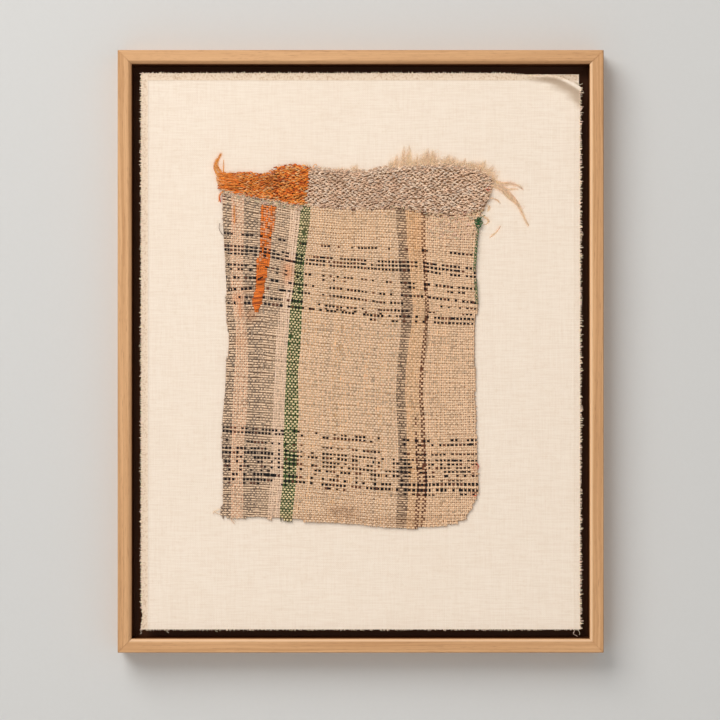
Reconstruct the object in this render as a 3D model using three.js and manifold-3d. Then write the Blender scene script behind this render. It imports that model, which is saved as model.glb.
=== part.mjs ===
// Framed kilim fragment: a worn piece of striped flat-weave, sewn to a linen mount cloth
// that floats on a panel inside a slim oak frame with mitred corners.
// Millimetres. X runs to the right, Z up, and the front faces -Y. The frame's back lies in Y = 0.
// The origin is on the back of the top rail, at its middle, where the frame meets the wall.
import * as THREE from 'three';
import { mergeVertices } from 'three/addons/utils/BufferGeometryUtils.js';
import Module from 'manifold-3d';

const wasm = await Module();
wasm.setup();

// Oak frame
const FRAME_WIDTH = 500;
const FRAME_HEIGHT = 620;
const FRAME_DEPTH = 32;
const FACE_WIDTH = 14.4;
const FOOT_REACH = 24; // how far the foot runs in from the face, under the panel
const FOOT_THICKNESS = 6;
const OUTER_EASE = 0.8; // radius of the outer front edge
const INNER_EASE = 1.6; // radius of the inner front edge
const EASE_STEPS = 3;
const CLEARANCE = 0.3; // between neighbouring pieces

// Linen and the panel under it
const LINEN_WIDTH = 452.5;
const LINEN_HEIGHT = 573.5;
const LINEN_THICKNESS = 1;
const PANEL_THICKNESS = 16;
const PANEL_INSET = 3; // the linen overhangs the panel by this much
const UNDER_INSET = 1; // the second layer is cut this much smaller
const CREASE_INSET = 6.7; // from the raw edge to the crease of the margin
const CREASE_HEIGHT = 0.5;
const CREASE_HALF = 1.6; // half the width of the crease
const CORNER_SHARE = 0.86; // above this share of the height the rows bend down to the lifted corner

// Kilim
const WEAVE_THICKNESS = 2;
const BAND_THICKNESS = 3.2;
const PUCKER = 0.35; // how far the cloth stands off the linen between its stitches, at most twice this
const WIDE_PUCKER = { share: 0.55, across: 31, up: 47, start: 0.6 };
const FINE_PUCKER = { share: 0.45, across: 23, up: 19, slant: 83, start: 1.1 };
const WEAVE_COLUMNS = 20; // besides those at the corners of the top edge
const WEAVE_ROWS = 30;
const BAND_ROWS = 4;

// Locks and threads
const STRIP_WIDTH = 1.4; // narrow strip that holds the roots of each group of locks
const STRIP_THICKNESS = 1.6;
const STRAND_SIDES = 3;
const MERGE_DISTANCE = 1e-4;
const STRAND_STEPS = 4;
const STRAND_TAPER = 0.75; // share of its radius that a strand loses along its length
const QUARTER_LIFT = 0.2; // share of a tip's lift that the strand has a quarter of the way along
const MIDDLE_LIFT = 0.5;
const MIDDLE_SWAY = 0.35; // share of a lock's lean that it has halfway up

// Outline of the kilim, from the middle of the linen: x to the right, z up.
const TOP_EDGE = [
  { x: -143.5, z: 184 },
  { x: -113, z: 184.5 },
  { x: -101.5, z: 182.5 },
  { x: -93, z: 185.5 },
  { x: -85, z: 190.5 },
  { x: -70.5, z: 193 },
  { x: -57, z: 191 },
  { x: -31.5, z: 188.5 },
  { x: 9.5, z: 186.5 },
  { x: 20, z: 190.5 },
  { x: 71, z: 193.5 },
  { x: 94, z: 193.5 },
  { x: 112.5, z: 190.5 },
  { x: 125, z: 187.5 },
  { x: 137, z: 177.5 },
];
const BAND_EDGE = [
  { x: -143.5, z: 167 },
  { x: -123, z: 161.5 },
  { x: -97, z: 156.5 },
  { x: -71.5, z: 151.5 },
  { x: -50, z: 149.5 },
  { x: 0, z: 146 },
  { x: 36, z: 148.5 },
  { x: 67, z: 143.5 },
  { x: 95, z: 140.5 },
  { x: 127, z: 146.5 },
];
const BOTTOM_EDGE = [
  { x: -145, z: -170.5 },
  { x: -103, z: -172 },
  { x: -1.5, z: -178 },
  { x: 20, z: -180.5 },
  { x: 50, z: -182.5 },
  { x: 82, z: -180.5 },
  { x: 106, z: -175.5 },
];
const LEFT_EDGE = [
  { z: -170.5, x: -145 },
  { z: -153, x: -142 },
  { z: -102, x: -142.5 },
  { z: -56, x: -141.5 },
  { z: 6, x: -136.5 },
  { z: 21, x: -136.5 },
  { z: 28, x: -139 },
  { z: 62, x: -139 },
  { z: 114, x: -140.5 },
  { z: 139, x: -142.5 },
  { z: 167, x: -143.5 },
  { z: 184, x: -143.5 },
];
const RIGHT_EDGE = [
  { z: -175.5, x: 106 },
  { z: -171, x: 109.5 },
  { z: -150, x: 119.5 },
  { z: -143, x: 121.5 },
  { z: -82, x: 119 },
  { z: -66, x: 119.5 },
  { z: -51, x: 118 },
  { z: 21, x: 118 },
  { z: 52, x: 120.5 },
  { z: 83, x: 118.5 },
  { z: 114, x: 120.5 },
  { z: 139.5, x: 123 },
  { z: 146.5, x: 127 },
  { z: 158, x: 133 },
  { z: 177.5, x: 137 },
];

// The lifted corner of the linen, from the middle of the linen. The cloth turns forward from the
// line "soft" to its raw edge "raw", where it stands "lift" in front of the rest.
const LIFTED_CORNER = [
  { x: 150, soft: 280, raw: 286.7, lift: 0 },
  { x: 174, soft: 278, raw: 284, lift: 1.2 },
  { x: 192.5, soft: 276, raw: 284.6, lift: 2.6 },
  { x: 203, soft: 271.5, raw: 283.5, lift: 3.8 },
  { x: 211, soft: 265, raw: 280, lift: 4.9 },
  { x: 219, soft: 256, raw: 276.5, lift: 5.6 },
  { x: 226.25, soft: 249, raw: 272, lift: 6 },
];
// Grid lines of the linen, from its left edge and from its bottom edge, closer where it bends.
const LINEN_COLUMNS = [50, 110, 180, 250, 310, 350];
const LINEN_ROWS = [0, 6, 13, 25, 70, 150, 250, 350, 430, 490, 520, 532, 540, 547, 553, 559];
const LEFT_LINEN_EDGE = [
  { z: -286.75, x: -226.5 },
  { z: -281, x: -226 },
  { z: -274, x: -224.3 },
  { z: -262, x: -226 },
  { z: -215, x: -226.25 },
  { z: 286.75, x: -226.25 },
];

// Groups of wool fuzz along the top edge, each from one x to another.
const FUZZ_GROUPS = [
  { from: -11, to: -3, locks: 3, height: 4.5, lean: 1, radius: 0.8 },
  { from: 29, to: 38, locks: 4, height: 9.5, lean: 4, radius: 1 },
  { from: 44, to: 52, locks: 3, height: 19, lean: 1.5, radius: 1 },
  { from: 55.5, to: 78, locks: 10, height: 14.5, lean: 2.5, radius: 1.1 },
  { from: 84, to: 96, locks: 5, height: 7.5, lean: 1.5, radius: 1 },
  { from: 99, to: 117, locks: 6, height: 4.5, lean: 1.5, radius: 0.9 },
  { from: 122.5, to: 134, locks: 6, height: 7.5, lean: 5, radius: 1 },
];
const FUZZ_STRIP = { from: -14, to: 136, room: [-16, -14.5] }; // the cloth makes room for it over "room"
const HEIGHT_PATTERN = [0.72, 1, 0.84, 0.94, 0.66]; // taken in turn, so that locks differ
const LEAN_PATTERN = [0.4, 1, -0.3, 1.4, 0.7];
const LIFT_PATTERN = [0, 0.5, 1, 0.3, 0.8]; // how far a tip stands forward, in millimetres

// Loose strands beside the cloth: the height of the root, the middle and the tip, from the middle of
// the linen, and how far the tip stands forward.
const ORANGE_LOCKS = [
  { root: 181.5, middle: [-148.5, 191.5], tip: [-144, 203], radius: 1.5, lift: 1.5 },
  { root: 178.5, middle: [-150.5, 188], tip: [-148, 199], radius: 1.2, lift: 0.5 },
  { root: 174.5, middle: [-148.2, 180.5], tip: [-151, 188], radius: 1, lift: 0.3 },
  { root: 170.5, middle: [-147, 174], tip: [-149, 179.5], radius: 0.9, lift: 0.2 },
];
const SIDE_LOCKS = [
  { root: 174.5, middle: [150, 173.5], tip: [173, 130.5], radius: 1.3, lift: 1.6 },
  { root: 171.5, middle: [149, 174], tip: [167, 165.5], radius: 1.2, lift: 0.6 },
  { root: 176, middle: [150, 177.5], tip: [163, 173.5], radius: 1.1, lift: 0.3 },
  { root: 163, middle: [142, 160.5], tip: [146.5, 152], radius: 0.7, lift: 0.2 },
];
const GREEN_LOOPS = [
  { root: 138.5, middle: [130, 142], tip: [132, 135], radius: 1, lift: 0.6 },
  { root: 132, middle: [126.5, 133.5], tip: [127, 127], radius: 1.2, lift: 0.9 },
  { root: 118, middle: [124.5, 117], tip: [123.6, 112.5], radius: 0.7, lift: 0.4 },
  { root: 101, middle: [123.6, 100], tip: [122.4, 95.5], radius: 0.7, lift: 0.4 },
  { root: 74, middle: [123.4, 73], tip: [122.6, 68.5], radius: 0.7, lift: 0.4 },
];

// The strips beside the cloth: the side they lie on, -1 left and 1 right, and their two ends.
const ORANGE_STRIP = { side: -1, low: 168.5, high: 183 };
const FRAYED_STRIP = { side: 1, low: 159.5, high: 176.5 };
const GREEN_STRIP = { side: 1, low: 53, high: 140 };

// Depths, measured forward from the back of the frame
const PANEL_BACK = FOOT_THICKNESS + CLEARANCE;
const UNDER_BACK = PANEL_BACK + PANEL_THICKNESS + CLEARANCE;
const LINEN_BACK = UNDER_BACK + LINEN_THICKNESS + CLEARANCE;
const KILIM_BACK = LINEN_BACK + LINEN_THICKNESS + CLEARANCE;
const WALL_POINT_HEIGHT = FRAME_HEIGHT / 2 - (FACE_WIDTH + FOOT_REACH) / 2;

const oak = new THREE.MeshStandardMaterial({ name: 'oak', color: 0xd2a06f, roughness: 0.55 });
const board = new THREE.MeshStandardMaterial({ name: 'board', color: 0xb9986c, roughness: 0.75 });
const linen = new THREE.MeshStandardMaterial({ name: 'linen', color: 0xf4e2cd, roughness: 0.95 });
const wool = new THREE.MeshStandardMaterial({ name: 'wool', color: 0xcbab8a, roughness: 0.95 });
const orangeWool = new THREE.MeshStandardMaterial({ name: 'orange wool', color: 0xe07a22, roughness: 0.95 });
const peachWool = new THREE.MeshStandardMaterial({ name: 'peach wool', color: 0xd9b08c, roughness: 0.95 });
const greenWool = new THREE.MeshStandardMaterial({ name: 'green wool', color: 0x2f5a34, roughness: 0.9 });

// Value of a table at a place between its rows, along straight lines.
function along(table, key, place, value) {
  const rising = table.findIndex((row) => row[key] >= place);
  if (rising === 0) return table[0][value];
  if (rising < 0) return table[table.length - 1][value];
  const [low, high] = [table[rising - 1], table[rising]];
  return THREE.MathUtils.mapLinear(place, low[key], high[key], low[value], high[value]);
}

function smooth(low, high, place) {
  return THREE.MathUtils.smoothstep(place, low, high);
}

// A rail lies along X with its outer edge at z = distance. Its section is drawn with x inward
// from the outer edge and y forward from the back.
function railGeometry(length, distance) {
  const section = new THREE.Shape();
  section.moveTo(0, 0);
  section.lineTo(FACE_WIDTH + FOOT_REACH, 0);
  section.lineTo(FACE_WIDTH + FOOT_REACH, FOOT_THICKNESS);
  section.lineTo(FACE_WIDTH, FOOT_THICKNESS);
  section.lineTo(FACE_WIDTH, FRAME_DEPTH - INNER_EASE);
  section.quadraticCurveTo(FACE_WIDTH, FRAME_DEPTH, FACE_WIDTH - INNER_EASE, FRAME_DEPTH);
  section.lineTo(OUTER_EASE, FRAME_DEPTH);
  section.quadraticCurveTo(0, FRAME_DEPTH, 0, FRAME_DEPTH - OUTER_EASE);
  const geometry = new THREE.ExtrudeGeometry(section, {
    depth: length,
    bevelEnabled: false,
    curveSegments: EASE_STEPS,
  });
  const mitreGap = CLEARANCE / Math.SQRT2;
  const position = geometry.getAttribute('position');
  for (let i = 0; i < position.count; i += 1) {
    const inward = position.getX(i);
    const end = position.getZ(i) > length / 2 ? 1 : -1;
    const half = length / 2 - inward - mitreGap;
    position.setXYZ(i, -end * half, -position.getY(i), distance - inward);
  }
  geometry.deleteAttribute('uv');
  geometry.computeVertexNormals();
  return geometry;
}

function addRail(group, name, length, distance, turn) {
  const mesh = new THREE.Mesh(railGeometry(length, distance), oak);
  mesh.name = name;
  mesh.rotation.y = turn;
  group.add(mesh);
}

// Closed sheet over a grid. columns and rows are lists of shares from 0 to 1. front and back give
// a point for a column and a row, and the front faces -Y.
function sheetGeometry(columns, rows, front, back) {
  const across = columns.length;
  const up = rows.length;
  const positions = [];
  for (const surface of [front, back]) {
    for (const row of rows) {
      for (const column of columns) positions.push(...surface(column, row));
    }
  }
  const faces = [];
  const quad = (a, b, c, d) => faces.push(a, b, c, a, c, d);
  const at = (side, column, row) => (side * up + row) * across + column;
  for (let r = 0; r < up - 1; r += 1) {
    for (let c = 0; c < across - 1; c += 1) {
      quad(at(0, c, r), at(0, c + 1, r), at(0, c + 1, r + 1), at(0, c, r + 1));
      quad(at(1, c, r), at(1, c, r + 1), at(1, c + 1, r + 1), at(1, c + 1, r));
    }
  }
  for (let c = 0; c < across - 1; c += 1) {
    quad(at(0, c + 1, 0), at(0, c, 0), at(1, c, 0), at(1, c + 1, 0));
    quad(at(0, c, up - 1), at(0, c + 1, up - 1), at(1, c + 1, up - 1), at(1, c, up - 1));
  }
  for (let r = 0; r < up - 1; r += 1) {
    quad(at(0, 0, r), at(0, 0, r + 1), at(1, 0, r + 1), at(1, 0, r));
    quad(at(0, across - 1, r + 1), at(0, across - 1, r), at(1, across - 1, r), at(1, across - 1, r + 1));
  }
  const geometry = new THREE.BufferGeometry();
  geometry.setAttribute('position', new THREE.Float32BufferAttribute(positions, 3));
  geometry.setIndex(faces);
  geometry.computeVertexNormals();
  return geometry;
}

function evenShares(count) {
  return Array.from({ length: count + 1 }, (_, i) => i / count);
}

// Shares that place a line at each of the listed distances across a width.
function sharesAt(distances, width) {
  return distances.map((distance) => distance / width);
}

function addMesh(group, name, geometry, material) {
  const mesh = new THREE.Mesh(geometry, material);
  mesh.name = name;
  group.add(mesh);
}

function addFrame(group) {
  addRail(group, 'rail_top', FRAME_WIDTH, FRAME_HEIGHT / 2, 0);
  addRail(group, 'rail_right', FRAME_HEIGHT, FRAME_WIDTH / 2, Math.PI / 2);
  addRail(group, 'rail_bottom', FRAME_WIDTH, FRAME_HEIGHT / 2, Math.PI);
  addRail(group, 'rail_left', FRAME_HEIGHT, FRAME_WIDTH / 2, -Math.PI / 2);
}

function addPanel(group) {
  const width = LINEN_WIDTH - 2 * PANEL_INSET;
  const height = LINEN_HEIGHT - 2 * PANEL_INSET;
  const geometry = new THREE.BoxGeometry(width, PANEL_THICKNESS, height);
  geometry.translate(0, -(PANEL_BACK + PANEL_THICKNESS / 2), 0);
  addMesh(group, 'mount_panel', geometry, board);
}

function addUnderCloth(group) {
  const width = LINEN_WIDTH - 2 * UNDER_INSET;
  const height = LINEN_HEIGHT - 2 * UNDER_INSET;
  const geometry = new THREE.BoxGeometry(width, LINEN_THICKNESS, height);
  geometry.translate(0, -(UNDER_BACK + LINEN_THICKNESS / 2), 0);
  addMesh(group, 'under_cloth', geometry, linen);
}

// How far the linen stands forward at a place: its lifted corner and the crease of its margin.
function linenLift(x, z) {
  const soft = along(LIFTED_CORNER, 'x', x, 'soft');
  const raw = along(LIFTED_CORNER, 'x', x, 'raw');
  const turned = Math.max(0, (z - soft) / (raw - soft));
  const corner = along(LIFTED_CORNER, 'x', x, 'lift') * turned ** 2;
  const fromTop = Math.abs(LINEN_HEIGHT / 2 - CREASE_INSET - z);
  const fromLeft = Math.abs(x + LINEN_WIDTH / 2 - CREASE_INSET);
  const crease = 1 - smooth(0, CREASE_HALF, Math.min(fromTop, fromLeft));
  return corner + CREASE_HEIGHT * crease;
}

function addMountCloth(group) {
  const margin = [0, CREASE_INSET - CREASE_HALF, CREASE_INSET, CREASE_INSET + CREASE_HALF];
  const cornerPlaces = LIFTED_CORNER.map((row) => row.x + LINEN_WIDTH / 2);
  const columns = sharesAt([...margin, ...LINEN_COLUMNS, ...cornerPlaces], LINEN_WIDTH);
  const topMargin = [...margin].reverse().map((inset) => LINEN_HEIGHT - inset);
  const rows = sharesAt([...LINEN_ROWS, ...topMargin], LINEN_HEIGHT);
  const place = (column, row) => {
    const level = (row - 0.5) * LINEN_HEIGHT;
    const left = along(LEFT_LINEN_EDGE, 'z', level, 'x');
    const x = THREE.MathUtils.lerp(left, LINEN_WIDTH / 2, column);
    const drop = LINEN_HEIGHT / 2 - along(LIFTED_CORNER, 'x', x, 'raw');
    const pull = smooth(CORNER_SHARE, 1, row);
    return [x, level - drop * pull];
  };
  const surface = (depth) => (column, row) => {
    const [x, z] = place(column, row);
    return [x, -(depth + linenLift(x, z)), z];
  };
  const front = surface(LINEN_BACK + LINEN_THICKNESS);
  const back = surface(LINEN_BACK);
  addMesh(group, 'mount_cloth', sheetGeometry(columns, rows, front, back), linen);
}

// The cloth stands off the linen in soft puckers.
function pucker(x, z) {
  const wide = Math.sin(x / WIDE_PUCKER.across + z / WIDE_PUCKER.up + WIDE_PUCKER.start);
  const level = Math.sin(z / FINE_PUCKER.up - x / FINE_PUCKER.slant);
  const fine = level * Math.sin(x / FINE_PUCKER.across + FINE_PUCKER.start);
  return PUCKER * (1 + WIDE_PUCKER.share * wide + FINE_PUCKER.share * fine);
}

// The top edge of the cloth itself lies under the strip of wool fuzz.
function kilimTop(x) {
  const underStrip = smooth(...FUZZ_STRIP.room, x);
  return along(TOP_EDGE, 'x', x, 'z') - underStrip * (STRIP_WIDTH + CLEARANCE);
}

// Point of the kilim: level 0 is the bottom edge, 1 the lower edge of the band and 2 the top edge.
function kilimPoint(column, level) {
  const lines = [
    { table: BOTTOM_EDGE, height: (x) => along(BOTTOM_EDGE, 'x', x, 'z') },
    { table: BAND_EDGE, height: (x) => along(BAND_EDGE, 'x', x, 'z') },
    { table: TOP_EDGE, height: kilimTop },
  ];
  const low = lines[Math.min(1, Math.floor(level))];
  const high = lines[Math.min(1, Math.floor(level)) + 1];
  const share = level - Math.min(1, Math.floor(level));
  const heightAt = (line) => {
    const { x: first } = line.table[0];
    const { x: last } = line.table[line.table.length - 1];
    return line.height(THREE.MathUtils.lerp(first, last, column));
  };
  const endHeight = (end) => THREE.MathUtils.lerp(low.table.at(end).z, high.table.at(end).z, share);
  const left = along(LEFT_EDGE, 'z', endHeight(0), 'x');
  const right = along(RIGHT_EDGE, 'z', endHeight(-1), 'x');
  const z = THREE.MathUtils.lerp(heightAt(low), heightAt(high), share);
  return [THREE.MathUtils.lerp(left, right, column), z];
}

// Rows of the grid. The band reaches its full thickness just above its lower edge.
const BAND_START = 1.06;
const KILIM_LEVELS = [
  ...evenShares(WEAVE_ROWS),
  BAND_START,
  ...evenShares(BAND_ROWS).slice(1).map((share) => 1 + share),
];

function addKilim(group) {
  const [first, last] = [TOP_EDGE.at(0).x, TOP_EDGE.at(-1).x];
  const corners = [...TOP_EDGE.map((row) => row.x), ...FUZZ_STRIP.room];
  const shares = [...evenShares(WEAVE_COLUMNS), ...corners.map((x) => (x - first) / (last - first))];
  const columns = [...new Set(shares)].sort((a, b) => a - b);
  const back = (column, level) => {
    const [x, z] = kilimPoint(column, level);
    return [x, -(KILIM_BACK + pucker(x, z)), z];
  };
  const front = (column, level) => {
    const [x, y, z] = back(column, level);
    const thickness = level < BAND_START ? WEAVE_THICKNESS : BAND_THICKNESS;
    return [x, y - thickness, z];
  };
  addMesh(group, 'kilim', sheetGeometry(columns, KILIM_LEVELS, front, back), wool);
}

// A geometry as a solid that can be joined to others.
function solidOf(geometry) {
  const plain = geometry.clone();
  plain.deleteAttribute('normal');
  plain.deleteAttribute('uv');
  const merged = mergeVertices(plain, MERGE_DISTANCE);
  return new wasm.Manifold(
    new wasm.Mesh({
      numProp: 3,
      vertProperties: merged.getAttribute('position').array,
      triVerts: new Uint32Array(merged.index.array),
    }),
  );
}

function geometryOf(solid) {
  const mesh = solid.getMesh();
  const geometry = new THREE.BufferGeometry();
  geometry.setAttribute('position', new THREE.BufferAttribute(mesh.vertProperties, mesh.numProp));
  geometry.setIndex(new THREE.BufferAttribute(mesh.triVerts, 1));
  geometry.computeVertexNormals();
  return geometry;
}

// A tapering strand along a curve, with its tip closed to a point.
function strandGeometry(points, radius) {
  const curve = new THREE.CatmullRomCurve3(points);
  const frames = curve.computeFrenetFrames(STRAND_STEPS, false);
  const positions = [];
  for (let step = 0; step < STRAND_STEPS; step += 1) {
    const share = step / STRAND_STEPS;
    const centre = curve.getPointAt(share);
    const size = radius * (1 - STRAND_TAPER * share);
    for (let side = 0; side < STRAND_SIDES; side += 1) {
      const angle = (side / STRAND_SIDES) * 2 * Math.PI;
      const out = frames.normals[step].clone().multiplyScalar(Math.cos(angle) * size);
      out.addScaledVector(frames.binormals[step], Math.sin(angle) * size);
      positions.push(...centre.clone().add(out).toArray());
    }
  }
  const faces = [];
  for (let step = 0; step < STRAND_STEPS - 1; step += 1) {
    for (let side = 0; side < STRAND_SIDES; side += 1) {
      const a = step * STRAND_SIDES + side;
      const b = step * STRAND_SIDES + ((side + 1) % STRAND_SIDES);
      faces.push(a, b, b + STRAND_SIDES, a, b + STRAND_SIDES, a + STRAND_SIDES);
    }
  }
  const tip = positions.length / 3;
  positions.push(...curve.getPointAt(1).toArray());
  const last = (STRAND_STEPS - 1) * STRAND_SIDES;
  for (let side = 0; side < STRAND_SIDES; side += 1) {
    faces.push(last + side, last + ((side + 1) % STRAND_SIDES), tip);
    if (side > 1) faces.push(0, side, side - 1);
  }
  const geometry = new THREE.BufferGeometry();
  geometry.setAttribute('position', new THREE.Float32BufferAttribute(positions, 3));
  geometry.setIndex(faces);
  return geometry;
}

// A strip of the given depth whose two long edges run along a list of point pairs.
function stripGeometry(pairs, depth) {
  const edge = (forward) => (column, row) => {
    const pair = pairs[Math.round(column * (pairs.length - 1))];
    const [x, z] = pair[row];
    return [x, -forward, z];
  };
  const columns = evenShares(pairs.length - 1);
  return sheetGeometry(columns, [0, 1], edge(depth + STRIP_THICKNESS), edge(depth));
}

const STRIP_BACK = KILIM_BACK + 2 * PUCKER;
const STRAND_DEPTH = STRIP_BACK + STRIP_THICKNESS / 2;

function joined(strip, strands) {
  let solid = solidOf(strip);
  for (const strand of strands) solid = solid.add(solidOf(strand));
  return geometryOf(solid);
}

function strandBetween(root, middle, tip, radius, lift) {
  const point = ([x, z], forward) => new THREE.Vector3(x, -(STRAND_DEPTH + forward), z);
  const half = [(root[0] + middle[0]) / 2, (root[1] + middle[1]) / 2];
  const points = [
    point(root, 0),
    point(half, lift * QUARTER_LIFT),
    point(middle, lift * MIDDLE_LIFT),
    point(tip, lift),
  ];
  return strandGeometry(points, radius);
}

function addTopFuzz(group) {
  const between = TOP_EDGE.map((row) => row.x);
  const inside = between.filter((x) => x > FUZZ_STRIP.from && x < FUZZ_STRIP.to);
  const places = [FUZZ_STRIP.from, ...inside, FUZZ_STRIP.to];
  const pairs = places.map((x) => {
    const z = along(TOP_EDGE, 'x', x, 'z');
    return [[x, z - STRIP_WIDTH], [x, z]];
  });
  const strands = [];
  for (const { from, to, locks, height, lean, radius } of FUZZ_GROUPS) {
    for (let i = 0; i < locks; i += 1) {
      const x = THREE.MathUtils.lerp(from, to, i / (locks - 1));
      const z = along(TOP_EDGE, 'x', x, 'z');
      const turn = i % HEIGHT_PATTERN.length;
      const rise = height * HEIGHT_PATTERN[turn];
      const sway = lean * LEAN_PATTERN[turn];
      const root = [x, z - STRIP_WIDTH / 2];
      const middle = [x + sway * MIDDLE_SWAY, z + rise / 2];
      strands.push(strandBetween(root, middle, [x + sway, z + rise], radius, LIFT_PATTERN[turn]));
    }
  }
  addMesh(group, 'top_fuzz', joined(stripGeometry(pairs, STRIP_BACK), strands), peachWool);
}

// The left or right edge of the kilim as a table of places.
function kilimSide(side) {
  const column = side > 0 ? 1 : 0;
  return KILIM_LEVELS.map((level) => {
    const [x, z] = kilimPoint(column, level);
    return { x, z };
  });
}

// A strip beside the left or right edge of the kilim, from one height to another.
function sideStrip({ side, low, high }) {
  const edge = kilimSide(side);
  const inside = edge.map((row) => row.z).filter((z) => z > low && z < high);
  const pairs = [low, ...inside, high].map((z) => {
    const near = along(edge, 'z', z, 'x') + side * CLEARANCE;
    const far = near + side * STRIP_WIDTH;
    return side > 0 ? [[far, z], [near, z]] : [[near, z], [far, z]];
  });
  return stripGeometry(pairs, STRIP_BACK);
}

function addSideLocks(group, name, strip, rows, material) {
  const edge = kilimSide(strip.side);
  const strands = rows.map(({ root, middle, tip, radius, lift }) => {
    const x = along(edge, 'z', root, 'x') + strip.side * (CLEARANCE + STRIP_WIDTH / 2);
    return strandBetween([x, root], middle, tip, radius, lift);
  });
  addMesh(group, name, joined(sideStrip(strip), strands), material);
}

const picture = new THREE.Group();
picture.position.z = -WALL_POINT_HEIGHT;
addFrame(picture);
addPanel(picture);
addUnderCloth(picture);
addMountCloth(picture);
addKilim(picture);
addTopFuzz(picture);
addSideLocks(picture, 'corner_tuft', ORANGE_STRIP, ORANGE_LOCKS, orangeWool);
addSideLocks(picture, 'side_tuft', FRAYED_STRIP, SIDE_LOCKS, peachWool);
addSideLocks(picture, 'green_edge', GREEN_STRIP, GREEN_LOOPS, greenWool);

const part = new THREE.Group();
part.add(picture);
export default part;
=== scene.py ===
import math

import bpy
import numpy as np
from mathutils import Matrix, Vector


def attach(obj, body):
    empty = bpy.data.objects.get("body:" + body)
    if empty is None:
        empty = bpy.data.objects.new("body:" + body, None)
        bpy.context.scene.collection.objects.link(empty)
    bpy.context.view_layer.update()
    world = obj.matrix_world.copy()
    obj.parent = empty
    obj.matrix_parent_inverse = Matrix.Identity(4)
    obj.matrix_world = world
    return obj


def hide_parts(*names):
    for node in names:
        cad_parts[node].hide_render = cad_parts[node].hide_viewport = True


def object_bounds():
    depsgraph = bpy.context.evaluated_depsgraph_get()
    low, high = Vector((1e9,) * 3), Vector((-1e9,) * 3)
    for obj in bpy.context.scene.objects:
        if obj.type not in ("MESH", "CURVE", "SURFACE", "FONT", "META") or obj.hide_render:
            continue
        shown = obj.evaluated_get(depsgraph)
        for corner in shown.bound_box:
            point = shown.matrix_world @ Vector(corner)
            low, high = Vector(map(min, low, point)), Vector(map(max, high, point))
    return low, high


bl_info = {
    "name": "Framed kilim fragment",
    "version": (1, 0, 0),
    "blender": (4, 5, 0),
    "location": "View3D > Sidebar > Kilim",
    "description": "Dresses a kilim fragment on its linen mount in an oak float frame",
    "category": "Object",
}

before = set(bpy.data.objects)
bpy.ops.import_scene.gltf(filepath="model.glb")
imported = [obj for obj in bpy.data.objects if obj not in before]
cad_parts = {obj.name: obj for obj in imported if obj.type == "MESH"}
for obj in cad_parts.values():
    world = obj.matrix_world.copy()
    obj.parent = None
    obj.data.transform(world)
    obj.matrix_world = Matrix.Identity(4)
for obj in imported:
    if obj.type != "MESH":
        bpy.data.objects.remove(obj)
CAD_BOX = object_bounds()

# Places are worked out in millimetres: x to the right and z up from the middle of the linen, and
# depth forward from the back of the frame.
MIDDLE_Z = (CAD_BOX[0].z + CAD_BOX[1].z) * 500
FRAME_HALF_WIDTH = (CAD_BOX[1].x - CAD_BOX[0].x) * 500
FRAME_HALF_HEIGHT = (CAD_BOX[1].z - CAD_BOX[0].z) * 500
FRAME_DEPTH = (CAD_BOX[1].y - CAD_BOX[0].y) * 1000
FACE_WIDTH = 14.4
FOOT_REACH = 24.0
FOOT_THICKNESS = 6.0
LINEN_WIDTH = 452.5
LINEN_HEIGHT = 573.5
UNDER_INSET = 1.0
UNDER_BACK = 22.6
UNDER_THICKNESS = 0.9
LINEN_BACK = 23.9
LINEN_THICKNESS = 1.0
KILIM_BACK = 25.2

# Places on the wool are read off the photo in its pixels, and turned to millimetres by one scale.
PIXEL = 1.0284
MIDDLE_COLUMN = 360.65
MIDDLE_LINE = 350.55


def chart_x(column):
    return (np.asarray(column, float) - MIDDLE_COLUMN) * PIXEL


def chart_z(line):
    return (MIDDLE_LINE - np.asarray(line, float)) * PIXEL


def chart_path(columns, lines, depth):
    """Path of x, z and depth through places of the chart."""
    return np.stack([chart_x(columns), chart_z(lines), depth], axis=1)


def tint(red, green, blue):
    """A colour from 0 to 255 as the linear numbers that shaders take."""
    shares = np.array([red, green, blue]) / 255
    return tuple(np.where(shares <= 0.04045, shares / 12.92, ((shares + 0.055) / 1.055) ** 2.4))


def dye(red, green, blue):
    return np.array(tint(red, green, blue))


def smooth(low, high, place):
    share = np.clip((place - low) / (high - low), 0, 1)
    return share * share * (3 - 2 * share)


def table_value(table, place, column=1):
    """Value of a table at a place between its rows, whose first column rises."""
    rows = np.array(table, float)
    return np.interp(place, rows[:, 0], rows[:, column])


# Settings
def colour_setting(name, description, shade):
    return bpy.props.FloatVectorProperty(
        name=name,
        description=description,
        default=tint(*shade),
        subtype="COLOR",
        min=0.0,
        max=1.0,
    )


def length_setting(name, description, default):
    return bpy.props.FloatProperty(
        name=name,
        description=description,
        default=default,
        min=0.0,
        subtype="DISTANCE",
        unit="LENGTH",
        precision=5,
    )


def share_setting(name, description, default):
    return bpy.props.FloatProperty(
        name=name, description=description, default=default, min=0.1, max=1.5, subtype="FACTOR"
    )


class OakSettings(bpy.types.PropertyGroup):
    light: colour_setting("Light oak", "Colour between the growth lines", (225, 176, 128))
    dark: colour_setting("Dark oak", "Colour of the growth lines", (188, 137, 90))
    pore: colour_setting("Pores", "Colour of the open pores", (138, 90, 54))
    # The same dark colour is also painted shade in the mitre joints.
    stain: colour_setting("Stain", "Dark stain inside the frame", (88, 46, 14))
    ply: colour_setting("Plywood", "Colour of the bare panel", (186, 152, 112))


class LinenSettings(bpy.types.PropertyGroup):
    colour: colour_setting("Linen", "Colour of the linen mount", (251, 236, 219))
    # The margin colour is partly a rubbed margin and partly painted shade.
    margin: colour_setting("Margin", "Colour of the rubbed margin", (236, 211, 184))
    pitch: length_setting("Thread pitch", "From one linen thread to the next", 0.00105)
    crease: length_setting("Crease", "Height of the crease along the margin", 0.0005)


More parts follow.
